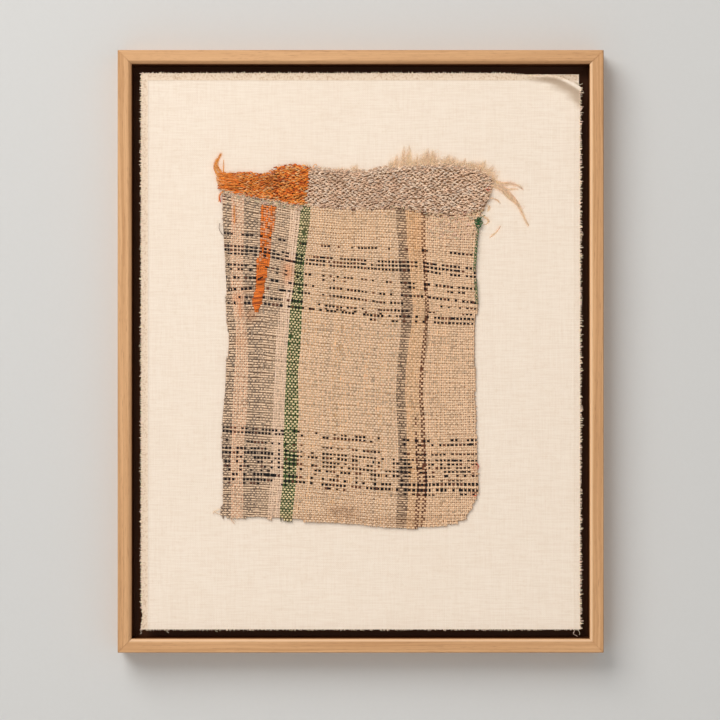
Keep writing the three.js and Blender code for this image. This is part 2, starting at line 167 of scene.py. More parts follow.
class WoolSettings(bpy.types.PropertyGroup):
    weft: colour_setting("Weft", "Natural wool of the weft", (252, 219, 186))
    field: colour_setting("Field warp", "Natural wool of the field", (236, 194, 153))
    grey: colour_setting("Grey warp", "Grey-brown wool of the stripes", (154, 134, 116))
    green: colour_setting("Green warp", "Dyed green wool", (64, 88, 44))
    orange: colour_setting("Orange", "Dyed orange wool", (236, 126, 46))
    dark: colour_setting("Dark weft", "Near black weft of the dotted rows", (22, 13, 14))
    warp_share: share_setting("Warp share", "Part of the space between warps that a warp fills", 0.98)
    weft_share: share_setting("Weft share", "Part of the space between wefts that a weft fills", 0.93)
    yarn_height: length_setting("Yarn height", "Thickness of a yarn pressed in the weave", 0.00088)


class TuftSettings(bpy.types.PropertyGroup):
    peach: colour_setting("Peach wool", "Loose wool of the frayed end", (246, 210, 172))
    fuzz: colour_setting("Fuzz", "Fine fibres along the top edge", (255, 220, 180))
    orange: colour_setting("Orange wool", "Loose wool of the corner", (255, 172, 72))
    green: colour_setting("Green thread", "Thread that whips the edge", (46, 100, 44))
    hair: length_setting("Fibre", "Thickness of a loose fibre", 0.0002)


class StageSettings(bpy.types.PropertyGroup):
    wall: colour_setting("Wall", "Colour of the wall and floor", (213, 213, 212))
    distance: length_setting("Camera distance", "From the camera to the frame's face", 2.6)
    width: length_setting("Picture width", "Width that the picture shows at the face", 0.7404)
    key: bpy.props.FloatProperty(
        name="Key light", description="Strength of the soft key light", default=120.0, min=0.0
    )
    fill: bpy.props.FloatProperty(
        name="Room light", description="Strength of the even room light", default=0.36, min=0.0
    )


def settings(group):
    return getattr(bpy.context.scene, f"kilim_{group}")


# Shader helpers
class Shader:
    """One material and short ways to add its nodes."""

    def __init__(self, name, roughness, sheen=0.0):
        self.material = bpy.data.materials.new(name)
        self.material.use_nodes = True
        self.tree = self.material.node_tree
        self.surface = self.tree.nodes["Principled BSDF"]
        self.surface.inputs["Roughness"].default_value = roughness
        self.surface.inputs["Sheen Weight"].default_value = sheen
        self.surface.inputs["Sheen Roughness"].default_value = 0.6
        self.surface.inputs["Specular IOR Level"].default_value = 0.3

    def node(self, kind, inputs=(), **facts):
        made = self.tree.nodes.new(kind)
        for fact, value in facts.items():
            setattr(made, fact, value)
        for socket, value in dict(inputs).items():
            self.put(value, made.inputs[socket])
        return made

    def put(self, value, socket):
        if isinstance(value, bpy.types.NodeSocket):
            self.tree.links.new(value, socket)
        else:
            socket.default_value = value

    def math(self, operation, *values):
        made = self.node("ShaderNodeMath", operation=operation)
        for i, value in enumerate(values):
            self.put(value, made.inputs[i])
        return made.outputs[0]

    def product(self, first, *others):
        for other in others:
            first = self.math("MULTIPLY", first, other)
        return first

    def beyond(self, place, middle, half):
        """How far a place lies past a distance to either side of a middle."""
        off = self.math("ABSOLUTE", self.math("SUBTRACT", place, middle))
        return self.math("SUBTRACT", off, half)

    def vector(self, operation, *values):
        made = self.node("ShaderNodeVectorMath", operation=operation)
        for i, value in enumerate(values):
            self.put(value, made.inputs[i])
        return made.outputs[0]

    def mix(self, factor, first, second):
        made = self.node("ShaderNodeMix", data_type="RGBA")
        for socket, value in ((0, factor), (6, first), (7, second)):
            if isinstance(value, tuple) and len(value) == 3:
                value = (*value, 1.0)
            self.put(value, made.inputs[socket])
        return made.outputs[2]

    def place(self):
        return self.node("ShaderNodeTexCoord").outputs["Object"]

    def split(self, vector):
        return self.node("ShaderNodeSeparateXYZ", {"Vector": vector}).outputs

    def noise(self, vector, scale, stretch=(1, 1, 1), detail=2.0, rough=0.55, warp=0.0):
        stretched = self.vector("MULTIPLY", vector, stretch)
        made = self.node(
            "ShaderNodeTexNoise",
            {
                "Vector": stretched,
                "Scale": scale,
                "Detail": detail,
                "Roughness": rough,
                "Distortion": warp,
            },
        )
        return made.outputs["Fac"]

    def spread(self, value, low, high, to_low=0.0, to_high=1.0):
        made = self.node("ShaderNodeMapRange", {"Value": value}, interpolation_type="SMOOTHSTEP")
        for socket, limit in ((1, low), (2, high), (3, to_low), (4, to_high)):
            self.put(limit, made.inputs[socket])
        return made.outputs[0]

    def bump(self, height, distance, strength, below=None):
        made = self.node(
            "ShaderNodeBump", {"Height": height, "Distance": distance, "Strength": strength}
        )
        if below is not None:
            self.put(below, made.inputs["Normal"])
        return made.outputs[0]

    def finish(self, colour, normal, roughness=None):
        self.put(colour, self.surface.inputs["Base Color"])
        self.put(normal, self.surface.inputs["Normal"])
        if roughness is not None:
            self.put(roughness, self.surface.inputs["Roughness"])
        return self.material


def four(colour):
    return (*tuple(colour)[:3], 1.0)


# Materials, whose places are in metres
FACE_REACH = FACE_WIDTH / 1000
INNER_X = FRAME_HALF_WIDTH / 1000 - FACE_REACH
INNER_Z = FRAME_HALF_HEIGHT / 1000 - FACE_REACH
FRAME_MIDDLE = MIDDLE_Z / 1000
STAIN_PAST_EDGE = 0.00015
MITRE_SHADE_HALF = 0.0012  # half width of the painted shade at a mitre
STAIN_FRONT = -0.0302
STAIN_BACK = -0.0005
FACE_BACK = -0.027  # the painted shade and highlight of the inner edge, and its eased bump, reach back to here


def oak_grain(shader, x, y, z, grain):
    """Colour of the oak, and the patterns of its rings, streaks and pores."""
    oak = settings("oak")
    along, across = (x, z) if grain == "x" else (z, x)
    shift = 0.0 if grain == "x" else 3.7
    depth = shader.math("ADD", y, shift)
    flow = shader.node("ShaderNodeCombineXYZ", {"X": along, "Y": across, "Z": depth}).outputs[0]
    wander = shader.noise(flow, 1.0, (5, 26, 26), 2.0)
    sway = shader.node("ShaderNodeCombineXYZ", {"Y": shader.math("MULTIPLY", wander, 0.012)})
    bent = shader.vector("ADD", flow, sway.outputs[0])
    rings = shader.noise(bent, 1.0, (2.2, 240, 240), 4.0, 0.6)
    streaks = shader.noise(bent, 1.0, (9, 1100, 1100), 3.0, 0.6)
    broad = shader.noise(flow, 1.0, (3, 40, 40), 2.0)
    pores = shader.spread(shader.noise(bent, 1.0, (75, 3300, 3300), 2.0, 0.5), 0.60, 0.74)
    ring_share = shader.product(shader.spread(rings, 0.38, 0.66), 0.8)
    base = shader.mix(ring_share, four(oak.light), four(oak.dark))
    base = shader.mix(shader.spread(streaks, 0.35, 0.75, 0.0, 0.5), base, four(oak.dark))
    base = shader.mix(shader.spread(broad, 0.3, 0.7, 0.0, 0.28), base, four(oak.light))
    base = shader.mix(shader.product(pores, 0.62), base, four(oak.pore))
    return base, rings, streaks, pores


def stain_and_joint_shade(shader, inner, x, y, z):
    """Where the dark stain lies, below the face and on all that is inside it; at the mitres the same colour
    is painted shade in the joints.
    """
    past_x = shader.beyond(x, 0.0, FRAME_HALF_WIDTH / 1000)
    past_z = shader.beyond(z, FRAME_MIDDLE, FRAME_HALF_HEIGHT / 1000)
    off_mitre = shader.math("ABSOLUTE", shader.math("SUBTRACT", past_x, past_z))
    mitre_joint_shade = shader.math("LESS_THAN", off_mitre, MITRE_SHADE_HALF)
    within = shader.math("MAXIMUM", shader.math("LESS_THAN", inner, STAIN_PAST_EDGE), mitre_joint_shade)
    below_face = shader.math("GREATER_THAN", y, STAIN_FRONT)
    off_back = shader.math("LESS_THAN", y, STAIN_BACK)
    return shader.product(within, below_face, off_back)


def oak_material(name, grain):
    """Oiled oak, with its grain along "x" or "z", and a dark stain on the faces inside the frame."""
    shader = Shader(name, roughness=0.5)
    x, y, z = shader.split(shader.place())[:3]
    base, rings, streaks, pores = oak_grain(shader, x, y, z, grain)
    inner = shader.math(
        "MAXIMUM", shader.beyond(x, 0.0, INNER_X), shader.beyond(z, FRAME_MIDDLE, INNER_Z)
    )
    front = shader.math("LESS_THAN", y, FACE_BACK)
    # Painted light on the inner edge of the face: the bottom and right rails count as lit, the top and left
    # as shaded.
    lit = shader.math("LESS_THAN", z, FRAME_MIDDLE)
    if grain == "z":
        lit = shader.math("GREATER_THAN", x, 0.0)
    shaded = shader.math("SUBTRACT", 1.0, lit)
    # Painted shade along the inner edge of the shaded rails.
    painted_edge_shade = shader.product(shader.spread(inner, 0.0002, 0.0022, 0.5, 0.0), front, shaded)
    base = shader.mix(painted_edge_shade, base, tint(128, 82, 46))
    # Painted highlight along the inner edge of the lit rails.
    edge_start = shader.spread(inner, 0.0003, 0.001)
    edge_end = shader.spread(inner, 0.002, 0.0036, 1.0, 0.0)
    painted_edge_highlight = shader.product(edge_start, edge_end, front, lit, 0.75)
    base = shader.mix(painted_edge_highlight, base, tint(250, 208, 166))
    # The dark stain inside the frame, and painted shade on the mitre faces.
    base = shader.mix(stain_and_joint_shade(shader, inner, x, y, z), base, four(settings("oak").stain))
    eased = shader.product(
        shader.spread(inner, 0.0006, 0.0038),
        shader.spread(inner, FACE_REACH - 0.001, FACE_REACH + 0.0002, 1.0, 0.5),
    )
    eased = shader.math("MAXIMUM", eased, shader.math("SUBTRACT", 1.0, front))
    rounded = shader.bump(eased, 0.0014, 1.0)
    height = shader.math("SUBTRACT", shader.product(streaks, 0.4), pores)
    rough = shader.spread(rings, 0.3, 0.7, 0.48, 0.6)
    return shader.finish(base, shader.bump(height, 0.00012, 0.6, rounded), rough)


VENEER_PAIR = 0.0032  # thickness of two layers of the plywood
PLY_EDGE = 0.0036  # from the linen's edge to where the panel's cut edge shows


def ply_material():
    shader = Shader("bare plywood", roughness=0.8)
    place = shader.place()
    x, y, z = shader.split(place)[:3]
    face = shader.noise(place, 1.0, (6, 6, 90), 3.0, 0.6, 0.4)
    base = shader.mix(shader.spread(face, 0.35, 0.7), four(settings("oak").ply), tint(158, 120, 80))
    layer = shader.math("SINE", shader.product(y, 2 * math.pi / VENEER_PAIR))
    edge = shader.math(
        "MAXIMUM",
        shader.beyond(x, 0.0, LINEN_WIDTH / 2000 - PLY_EDGE),
        shader.beyond(z, FRAME_MIDDLE, LINEN_HEIGHT / 2000 - PLY_EDGE),
    )
    on_edge = shader.math("GREATER_THAN", edge, 0.0)
    bands = shader.product(shader.spread(layer, -0.2, 0.2), on_edge, 0.5)
    base = shader.mix(bands, base, tint(120, 84, 52))
    return shader.finish(base, shader.bump(face, 0.0002, 0.5))


MARGIN_TOP = (0.2788, 0.2802)  # the crease, as heights from the middle
MARGIN_LEFT = (-0.2202, -0.2188)
MARGIN_RIGHT = (0.2192, 0.2202)


def linen_material():
    linen = settings("linen")
    shader = Shader("raw linen", roughness=0.95, sheen=0.12)
    place = shader.place()
    x, _, z = shader.split(place)[:3]
    wobble = shader.noise(place, 60.0, detail=2.0)
    turn = 2 * math.pi / linen.pitch
    warp_wave = shader.math("SINE", shader.math("ADD", shader.product(x, turn / 2), wobble))
    weft_wave = shader.math("SINE", shader.math("ADD", shader.product(z, turn / 2), wobble))
    checker = shader.product(warp_wave, weft_wave)
    slub_weft = shader.noise(place, 1.0, (45, 30, 900), 3.0, 0.6)
    slub_warp = shader.noise(place, 1.0, (900, 30, 35), 3.0, 0.6)
    slubs = shader.math("ADD", slub_weft, shader.product(slub_warp, 0.7))
    soft = shader.noise(place, 9.0, detail=3.0)
    base = shader.mix(
        shader.spread(slubs, 0.6, 1.15, 0.0, 0.5), four(linen.colour), tint(234, 212, 190)
    )
    base = shader.mix(shader.spread(soft, 0.35, 0.7, 0.0, 0.16), base, tint(244, 226, 206))
    fleck = shader.noise(place, 260.0, detail=3.0, rough=0.7)
    base = shader.mix(shader.spread(fleck, 0.52, 0.72, 0.0, 0.22), base, tint(228, 204, 178))
    # The margin is darkened most along the top and left, little along the right and not at the bottom:
    # partly a rubbed margin, partly painted shade where it turns down from the crease.
    left = shader.spread(x, *MARGIN_LEFT, 0.9, 0.0)
    right = shader.spread(x, *MARGIN_RIGHT, 0.0, 0.14)
    top = shader.spread(shader.math("SUBTRACT", z, FRAME_MIDDLE), *MARGIN_TOP)
    margin = shader.math("MAXIMUM", top, shader.math("MAXIMUM", left, right))
    grain = shader.noise(place, 700.0, detail=2.0)
    rubbed_and_shaded = shader.product(margin, shader.spread(grain, 0.25, 0.7, 0.55, 1.0))
    base = shader.mix(rubbed_and_shaded, base, four(linen.margin))
    pits = shader.product(margin, shader.spread(grain, 0.52, 0.66, 0.0, 0.5))
    base = shader.mix(pits, base, tint(190, 152, 118))
    # Painted shade below the lifted corner, which each point of the linen brings with it.
    tone = shader.node("ShaderNodeAttribute", attribute_name="colour_and_painted_shade").outputs["Fac"]
    base = shader.mix(tone, tint(190, 164, 138), base)
    height = shader.math("ADD", shader.product(checker, 0.35), slubs)
    height = shader.math("ADD", height, shader.product(pits, -2.0))
    return shader.finish(base, shader.bump(height, 0.00022, 0.6))


TWIST = 0.62  # turns of a yarn's twist in a millimetre


def yarn_material(name, fuzz=0.06):
    """Spun wool: each yarn brings its own colour, with some painted shade laid into it, and the shader adds
    fibres and twist.
    """
    shader = Shader(name, roughness=0.95, sheen=fuzz)
    own = shader.node("ShaderNodeAttribute", attribute_name="colour_and_painted_shade").outputs["Color"]
    strand = shader.node("ShaderNodeAttribute", attribute_name="strand").outputs["Vector"]
    run, around = shader.split(strand)[:2]
    turn = shader.math("ADD", shader.product(run, TWIST), around)
    twist = shader.math("SINE", shader.product(turn, 2 * math.pi))
    place = shader.place()
    fibres = shader.noise(place, 1600.0, detail=3.0, rough=0.7)
    clumps = shader.noise(place, 330.0, detail=2.0)
    tone = shader.math(
        "ADD",
        shader.spread(fibres, 0.3, 0.7, -0.14, 0.14),
        shader.spread(clumps, 0.3, 0.7, -0.08, 0.08),
    )
    # Faint painted shade and highlight along the twist.
    tone = shader.math("ADD", tone, shader.product(twist, 0.06))
    tone = shader.math("ADD", tone, 1.0)
    grey = shader.node("ShaderNodeCombineXYZ", {"X": tone, "Y": tone, "Z": tone}).outputs[0]
    colour = shader.vector("MULTIPLY", own, grey)
    height = shader.math("ADD", fibres, shader.product(twist, 0.5))
    return shader.finish(colour, shader.bump(height, 0.0002, 0.6))


def gap_shade_material():
    """Painted shade between the yarns, on a sheet behind them: brown, and rust below the orange part of the
    band.
    """
    shader = Shader("painted shade between yarns", roughness=1.0)
    place = shader.place()
    x, _, z = shader.split(place)[:3]
    specks = shader.noise(place, 500.0, detail=3.0)
    base = shader.mix(shader.spread(specks, 0.35, 0.7), tint(160, 118, 84), tint(186, 144, 106))
    orange = shader.product(
        shader.math("LESS_THAN", x, float(chart_x(BAND_JOIN)) / 1000),
        shader.math("GREATER_THAN", z, (MIDDLE_Z + BAND_FOOT) / 1000),
    )
    base = shader.mix(orange, base, tint(150, 66, 24))
    return shader.finish(base, shader.bump(specks, 0.0003, 0.6))


def wall_material():
    shader = Shader("painted wall", roughness=0.95)
    colour = four(settings("stage").wall)
    grain = shader.noise(shader.place(), 240.0, detail=4.0)
    base = shader.mix(shader.spread(grain, 0.3, 0.7, 0.0, 0.05), colour, tint(200, 196, 190))
    shader.finish(base, shader.bump(grain, 0.0004, 0.15))
    behind = shader.node("ShaderNodeNewGeometry").outputs["Backfacing"]
    clear = shader.node("ShaderNodeBsdfTransparent")
    mixed = shader.node("ShaderNodeMixShader", {0: behind, 1: shader.surface.outputs[0]})
    shader.put(clear.outputs[0], mixed.inputs[2])
    output = shader.tree.nodes["Material Output"]
    shader.put(mixed.outputs[0], output.inputs["Surface"])
    return shader.material


# Mesh helpers
def row_places(points):
    """Points of x, z and depth in millimetres as places in the row frame, in metres."""
    points = np.asarray(points, float)
    placed = np.empty_like(points)
    placed[:, 0] = points[:, 0]
    placed[:, 1] = -points[:, 2]
    placed[:, 2] = points[:, 1] + MIDDLE_Z
    return placed / 1000


def mesh_piece(name, points, quads, material, bake=None, colours=None, strand=None):
    mesh = bpy.data.meshes.new(name)
    places = row_places(points)
    mesh.vertices.add(len(places))
    mesh.vertices.foreach_set("co", places.astype(np.float32).ravel())
    corners = np.asarray(quads, np.int32).ravel()
    mesh.loops.add(len(corners))
    mesh.loops.foreach_set("vertex_index", corners)
    mesh.polygons.add(len(corners) // 4)
    mesh.polygons.foreach_set("loop_start", np.arange(0, len(corners), 4, dtype=np.int32))
    mesh.update(calc_edges=True)
    if bake is not None:
        layer = mesh.uv_layers.new(name="OFBake")
        layer.data.foreach_set("uv", np.asarray(bake, np.float32).ravel())
    if colours is not None:
        rgba = np.ones((len(places), 4), np.float32)
        rgba[:, :3] = colours
        own = mesh.attributes.new("colour_and_painted_shade", "FLOAT_COLOR", "POINT")
        own.data.foreach_set("color", rgba.ravel())
    if strand is not None:
        run = mesh.attributes.new("strand", "FLOAT_VECTOR", "POINT")
        run.data.foreach_set("vector", np.asarray(strand, np.float32).ravel())
    mesh.polygons.foreach_set("use_smooth", np.ones(len(mesh.polygons), bool))
    piece = bpy.data.objects.new(name, mesh)
    bpy.context.scene.collection.objects.link(piece)
    mesh.materials.append(material)
    return piece


def sheet_piece(name, front, back, material, tone=None):
    """Closed sheet from two grids of points, each of rows, columns and x, z, depth."""
    up, across = front.shape[:2]
    points = np.concatenate([front.reshape(-1, 3), back.reshape(-1, 3)])
    index = np.arange(up * across).reshape(up, across)
    behind = index + up * across

    def strips(a, b, c, d):
        return np.stack([a.ravel(), b.ravel(), c.ravel(), d.ravel()], axis=1)

    quads = [
        strips(index[:-1, :-1], index[:-1, 1:], index[1:, 1:], index[1:, :-1]),
        strips(behind[:-1, :-1], behind[1:, :-1], behind[1:, 1:], behind[:-1, 1:]),
        strips(index[0, 1:], index[0, :-1], behind[0, :-1], behind[0, 1:]),
        strips(index[-1, :-1], index[-1, 1:], behind[-1, 1:], behind[-1, :-1]),
        strips(index[:-1, 0], index[1:, 0], behind[1:, 0], behind[:-1, 0]),
        strips(index[1:, -1], index[:-1, -1], behind[:-1, -1], behind[1:, -1]),
    ]
    quads = np.concatenate(quads)
    low, high = points.min(0), points.max(0)
    flat = (points[:, :2] - low[:2]) / (high[:2] - low[:2])
    half = np.where(np.arange(len(points)) < up * across, 0.0, 0.5)
    uv = np.stack([flat[:, 0] * 0.49 + half, flat[:, 1]], axis=1)
    # A brightness for each point, which carries the painted shade below the linen's lifted corner.
    tone = np.ones(front.shape[:2]) if tone is None else tone
    colours = np.repeat(np.tile(tone.ravel(), 2)[:, None], 3, axis=1)
    return mesh_piece(name, points, quads, material, bake=uv[quads.ravel()], colours=colours)


def join_part(piece, slot, *nodes):
    """Gives a piece its body, and takes out the plain solids that it stands for."""
    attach(piece, "root")
    if nodes:
        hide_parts(*nodes)
    return piece


def set_finish(piece, material):
    piece.data.materials.clear()
    piece.data.materials.append(material)


class Strands:
    """Many yarns that become one mesh."""

    def __init__(self, sides, seed):
        self.sides = sides
        self.chance = np.random.RandomState(seed)
        self.points = []
        self.colours = []
        self.strand = []
        self.counts = []

    def add(self, path, width, height, colour):
        """A yarn along a path of x, z and depth, with its width, its height and its colour."""
        path = np.asarray(path, float)
        count = len(path)
        ahead = np.gradient(path, axis=0)
        ahead /= np.maximum(np.linalg.norm(ahead, axis=1, keepdims=True), 1e-9)
        side = np.stack([-ahead[:, 1], ahead[:, 0], np.zeros(count)], axis=1)
        flat = np.linalg.norm(side, axis=1, keepdims=True)
        side = np.where(flat < 0.05, [[1.0, 0.0, 0.0]], side / np.maximum(flat, 0.05))
        out = np.cross(ahead, side)
        turn = np.arange(self.sides) / self.sides
        angle = 2 * math.pi * turn - math.pi / 2
        width = np.broadcast_to(np.asarray(width, float) / 2, count)[:, None, None]
        height = np.broadcast_to(np.asarray(height, float) / 2, count)[:, None, None]
        ring = path[:, None, :] + side[:, None, :] * np.cos(angle)[None, :, None] * width
        ring = ring + out[:, None, :] * np.sin(angle)[None, :, None] * height
        steps = np.linalg.norm(np.diff(path, axis=0), axis=1)
        run = np.concatenate([[0], np.cumsum(steps)])
        strand = np.empty((count, self.sides, 3))
        strand[:, :, 0] = run[:, None]
        strand[:, :, 1] = turn[None, :]
        strand[:, :, 2] = self.chance.rand()
        colour = np.broadcast_to(np.asarray(colour, float), (count, 3))
        self.points.append(ring.reshape(-1, 3))
        self.colours.append(np.repeat(colour, self.sides, axis=0))
        self.strand.append(strand.reshape(-1, 3))
        self.counts.append(count)

    def piece(self, name, material):
        sides = self.sides
        around = np.arange(sides)
        after = (around + 1) % sides
        quads, uv = [], []
        start = 0
        total = len(self.counts)
        for number, count in enumerate(self.counts):
            ring = start + np.arange(count - 1)[:, None] * sides
            quads.append(
                np.stack(
                    [ring + around, ring + after, ring + sides + after, ring + sides + around],
                    axis=2,
                ).reshape(-1, 4)
            )
            low = np.arange(count - 1)[:, None] / (count - 1) + np.zeros(sides)
            high = low + 1 / (count - 1)
            first = (number + around / sides * 0.94 + 0.03) / total + np.zeros((count - 1, 1))
            second = first + 0.94 / sides / total
            uv.append(
                np.stack([low, first, low, second, high, second, high, first], axis=2).reshape(-1, 2)
            )
            start += count * sides
        return mesh_piece(
            name,
            np.concatenate(self.points),
            np.concatenate(quads),
            material,
            bake=np.concatenate(uv),
            colours=np.concatenate(self.colours),
            strand=np.concatenate(self.strand),
        )


def side_of(path):
    """The direction across a path, in the plane of the cloth."""
    ahead = np.gradient(path, axis=0)
    side = np.stack([-ahead[:, 1], ahead[:, 0], np.zeros(len(path))], axis=1)
    return side / np.maximum(np.linalg.norm(side, axis=1, keepdims=True), 1e-9)


WAVE_TURNS = 1.5  # how often a wavy thread swings to and fro along its length


def curve_path(points, count, wave=0.0):
    """Smooth path through a few points of x, z and depth, with a small wave across it."""
    points = np.asarray(points, float)
    share = np.linspace(0, 1, count)
    eased = np.concatenate([[points[0] * 2 - points[1]], points, [points[-1] * 2 - points[-2]]])
    spot = share * (len(points) - 1)
    low = np.minimum(spot.astype(int), len(points) - 2)
    t = (spot - low)[:, None]
    p0, p1, p2, p3 = eased[low], eased[low + 1], eased[low + 2], eased[low + 3]
    path = 0.5 * (
        2 * p1
        + (p2 - p0) * t
        + (2 * p0 - 5 * p1 + 4 * p2 - p3) * t**2
        + (3 * p1 - p0 - 3 * p2 + p3) * t**3
    )
    if wave:
        angle = share * WAVE_TURNS * 2 * math.pi
        path = path + side_of(path) * (wave * np.sin(angle))[:, None]
        path[:, 2] += 0.5 * wave * np.cos(angle)
    return path


# The mitres
GLUE_HALF = 0.13  # half of the joint's width
GLUE_INSET = 0.5  # how far the glue stays inside the wood's back and sides
GLUE_FRONT = 0.35  # how far it stays behind the face
GLUE_STEP = 0.1  # how far it stays inside the step between face and foot
GLUE_FACES = np.array(
    [(0, 1, 3, 2), (4, 6, 7, 5), (0, 4, 5, 1), (2, 3, 7, 6), (1, 5, 7, 3), (0, 2, 6, 4)]
)


def mitre_glue(material):
    """The glue that fills the fine joint between the rails at each corner."""
    points, quads = [], []
    step = FACE_WIDTH - GLUE_STEP
    foot = FACE_WIDTH + FOOT_REACH - GLUE_INSET
    arms = (
        (GLUE_INSET, step, GLUE_INSET, FRAME_DEPTH - GLUE_FRONT),
        (step, foot, GLUE_INSET, FOOT_THICKNESS - GLUE_STEP),
    )
    for side_x in (-1, 1):
        for side_z in (-1, 1):
            for outer, inner, back, front in arms:
                first = len(points)
                for inset in (outer, inner):
                    for aside in (-GLUE_HALF, GLUE_HALF):
                        x = FRAME_HALF_WIDTH - inset + aside * math.sqrt(0.5)
                        z = FRAME_HALF_HEIGHT - inset - aside * math.sqrt(0.5)
                        points.append((side_x * x, side_z * z, back))
                        points.append((side_x * x, side_z * z, front))
                faces = GLUE_FACES if side_x * side_z > 0 else GLUE_FACES[:, ::-1]
                quads.extend(faces + first)
    return mesh_piece("mitre_glue", points, quads, material)


# The linen
LIFTED_CORNER = (  # x, where the cloth turns forward, its raw edge, and how far that stands forward
    (150, 280, 286.7, 0),
    (174, 278, 284, 1.2),
    (192.5, 276, 284.6, 2.6),
    (203, 271.5, 283.5, 3.8),
    (211, 265, 280, 4.9),
    (219, 256, 276.5, 5.6),
    (226.25, 249, 272, 6),
)
LEFT_LINEN_EDGE = (  # height and x
    (-286.75, -226.5), (-281, -226), (-274, -224.3), (-262, -226), (-215, -226.25),
    (286.75, -226.25),
)
LINEN_STEP = 5.2  # of the grid, within the margins
UNDER_STEP = 22.0
CREASE_INSET = 6.7  # from the cloth's edge to the crease along it
CREASE_HALF = 1.3
CORNER_SHARE = 0.8  # share of the height above which the rows bend to the raw edge
CORNER_CURL = 1.15
CLOTH_CREASES = (  # faint creases: x, z, run, height and turn in degrees
    (-152.0, -117.0, 16.0, 0.16, 20.0),
    (-146.0, -112.0, 10.0, -0.12, 80.0),
    (176.0, 60.0, 26.0, 0.1, 75.0),
    (149.5, 77.7, 24.0, 0.2, -18.7),
    (60.0, -240.0, 40.0, 0.1, 5.0),
    (-60.0, 238.0, 34.0, 0.08, -4.0),
)


def linen_lift(x, z):
    """How far the linen stands forward: its lifted corner, margin crease and small unevenness."""
    soft = table_value(LIFTED_CORNER, x, 1)
    raw = table_value(LIFTED_CORNER, x, 2)
    turned = np.maximum(0, (z - soft) / (raw - soft))
    curl = 0.5 * smooth(0, 0.6, turned) + 0.75 * smooth(0.45, 0.86, turned)
    curl = curl - 0.2 * smooth(0.86, 1, turned)
    lift = table_value(LIFTED_CORNER, x, 3) * CORNER_CURL * curl
    from_top = LINEN_HEIGHT / 2 - CREASE_INSET - z
    from_left = x + LINEN_WIDTH / 2 - CREASE_INSET
    from_right = LINEN_WIDTH / 2 - CREASE_INSET - x
    crease = settings("linen").crease * 1000
    ridge = 1 - smooth(0, CREASE_HALF, np.minimum(np.abs(from_top), np.abs(from_left)))
    lift = lift + crease * ridge
    lift = lift + 0.25 * crease * (1 - smooth(0, CREASE_HALF, np.abs(from_right)))
    lift = lift + 0.06 * np.sin(x / 37 + 1.3) * np.sin(z / 53 + 0.4)
    lift = lift + 0.03 * np.sin(x / 9.1 + z / 31) * np.sin(z / 11.3 - x / 40)
    for middle_x, middle_z, run, height, turn in CLOTH_CREASES:
        angle = math.radians(turn)
        dx, dz = x - middle_x, z - middle_z
        far = dx * math.cos(angle) + dz * math.sin(angle)
        near = -dx * math.sin(angle) + dz * math.cos(angle)
        lift = lift + height * np.exp(-((far / run) ** 2) - (near / 1.8) ** 2)
    return lift


def corner_painted_shade(x, z):
    """How bright the linen is painted: painted shade darkens it below the roll of its lifted corner."""
    soft = table_value(LIFTED_CORNER, x, 1)
    raw = table_value(LIFTED_CORNER, x, 2)
    turned = (z - soft) / (raw - soft)
    curl_shade = smooth(-0.1, 0.35, turned) * (1 - smooth(0.72, 0.86, turned)) * smooth(168, 196, x)
    return 1 - 0.8 * curl_shade


def linen_grid(step, inset=0.0):
    """Grid of x and z over the linen, finer along its margins."""
    half_x = LINEN_WIDTH / 2 - inset
    half_z = LINEN_HEIGHT / 2 - inset
    margin = np.array([0, 0.35, 1.2, 2.6, 4.0, 5.0, 5.8, 6.4, 6.8, 7.4, 8.2, 9.4])

    def lines(half, low_margin):
        low = -half + (margin if low_margin else margin[:2])
        high = half - margin[::-1]
        inner = np.arange(low[-1] + step, high[0] - step / 2, step)
        return np.concatenate([low, inner, high])

    return np.meshgrid(lines(half_x, True), lines(half_z, False))


def linen_places(x, z):
    """Bends the straight grid to the linen's real outline."""
    row = z / LINEN_HEIGHT + 0.5
    left = table_value(LEFT_LINEN_EDGE, z)
    column = x / LINEN_WIDTH + 0.5
    x = left + (LINEN_WIDTH / 2 - left) * column
    drop = LINEN_HEIGHT / 2 - table_value(LIFTED_CORNER, x, 2)
    z = z - drop * smooth(CORNER_SHARE, 1, row)
    ragged = 0.22 * np.sin(z * 2.1) * np.sin(z * 0.37 + 1) + 0.12 * np.sin(z * 5.3)
    x = x + ragged * smooth(0.985, 1, column)
    return x, z


# The kilim's outline and weave. The top and bottom edges are points of x and z, and the edges at the
# sides are points of z and x, so that the first number always rises.
TOP_EDGE = (
    (-143.5, 184), (-113, 184.5), (-101.5, 182.5), (-93, 185.5), (-85, 190.5),
    (-70.5, 193), (-57, 191), (-31.5, 188.5), (9.5, 186.5), (20, 190.5),
    (71, 193.5), (94, 193.5), (112.5, 190.5), (125, 187.5), (137, 177.5),
)
BAND_EDGE = (
    (-143.5, 167), (-123, 161.5), (-97, 156.5), (-71.5, 151.5), (-50, 149.5),
    (0, 146), (36, 148.5), (67, 143.5), (95, 140.5), (127, 146.5),
)
BOTTOM_EDGE = (
    (-145, -170.5), (-103, -172), (-1.5, -178), (20, -180.5), (50, -182.5),
    (82, -180.5), (106, -175.5),
)
LEFT_EDGE = (
    (-170.5, -145), (-153, -142), (-102, -142.5), (-56, -141.5), (6, -136.5),
    (21, -136.5), (28, -139), (62, -139), (114, -140.5), (139, -142.5),
    (167, -143.5), (184, -143.5),
)
RIGHT_EDGE = (
    (-175.5, 106), (-171, 109.5), (-150, 119.5), (-143, 121.5), (-82, 119),
    (-66, 119.5), (-51, 118), (21, 118), (52, 120.5), (83, 118.5),
    (114, 120.5), (139.5, 123), (146.5, 127), (158, 133), (177.5, 137),
)

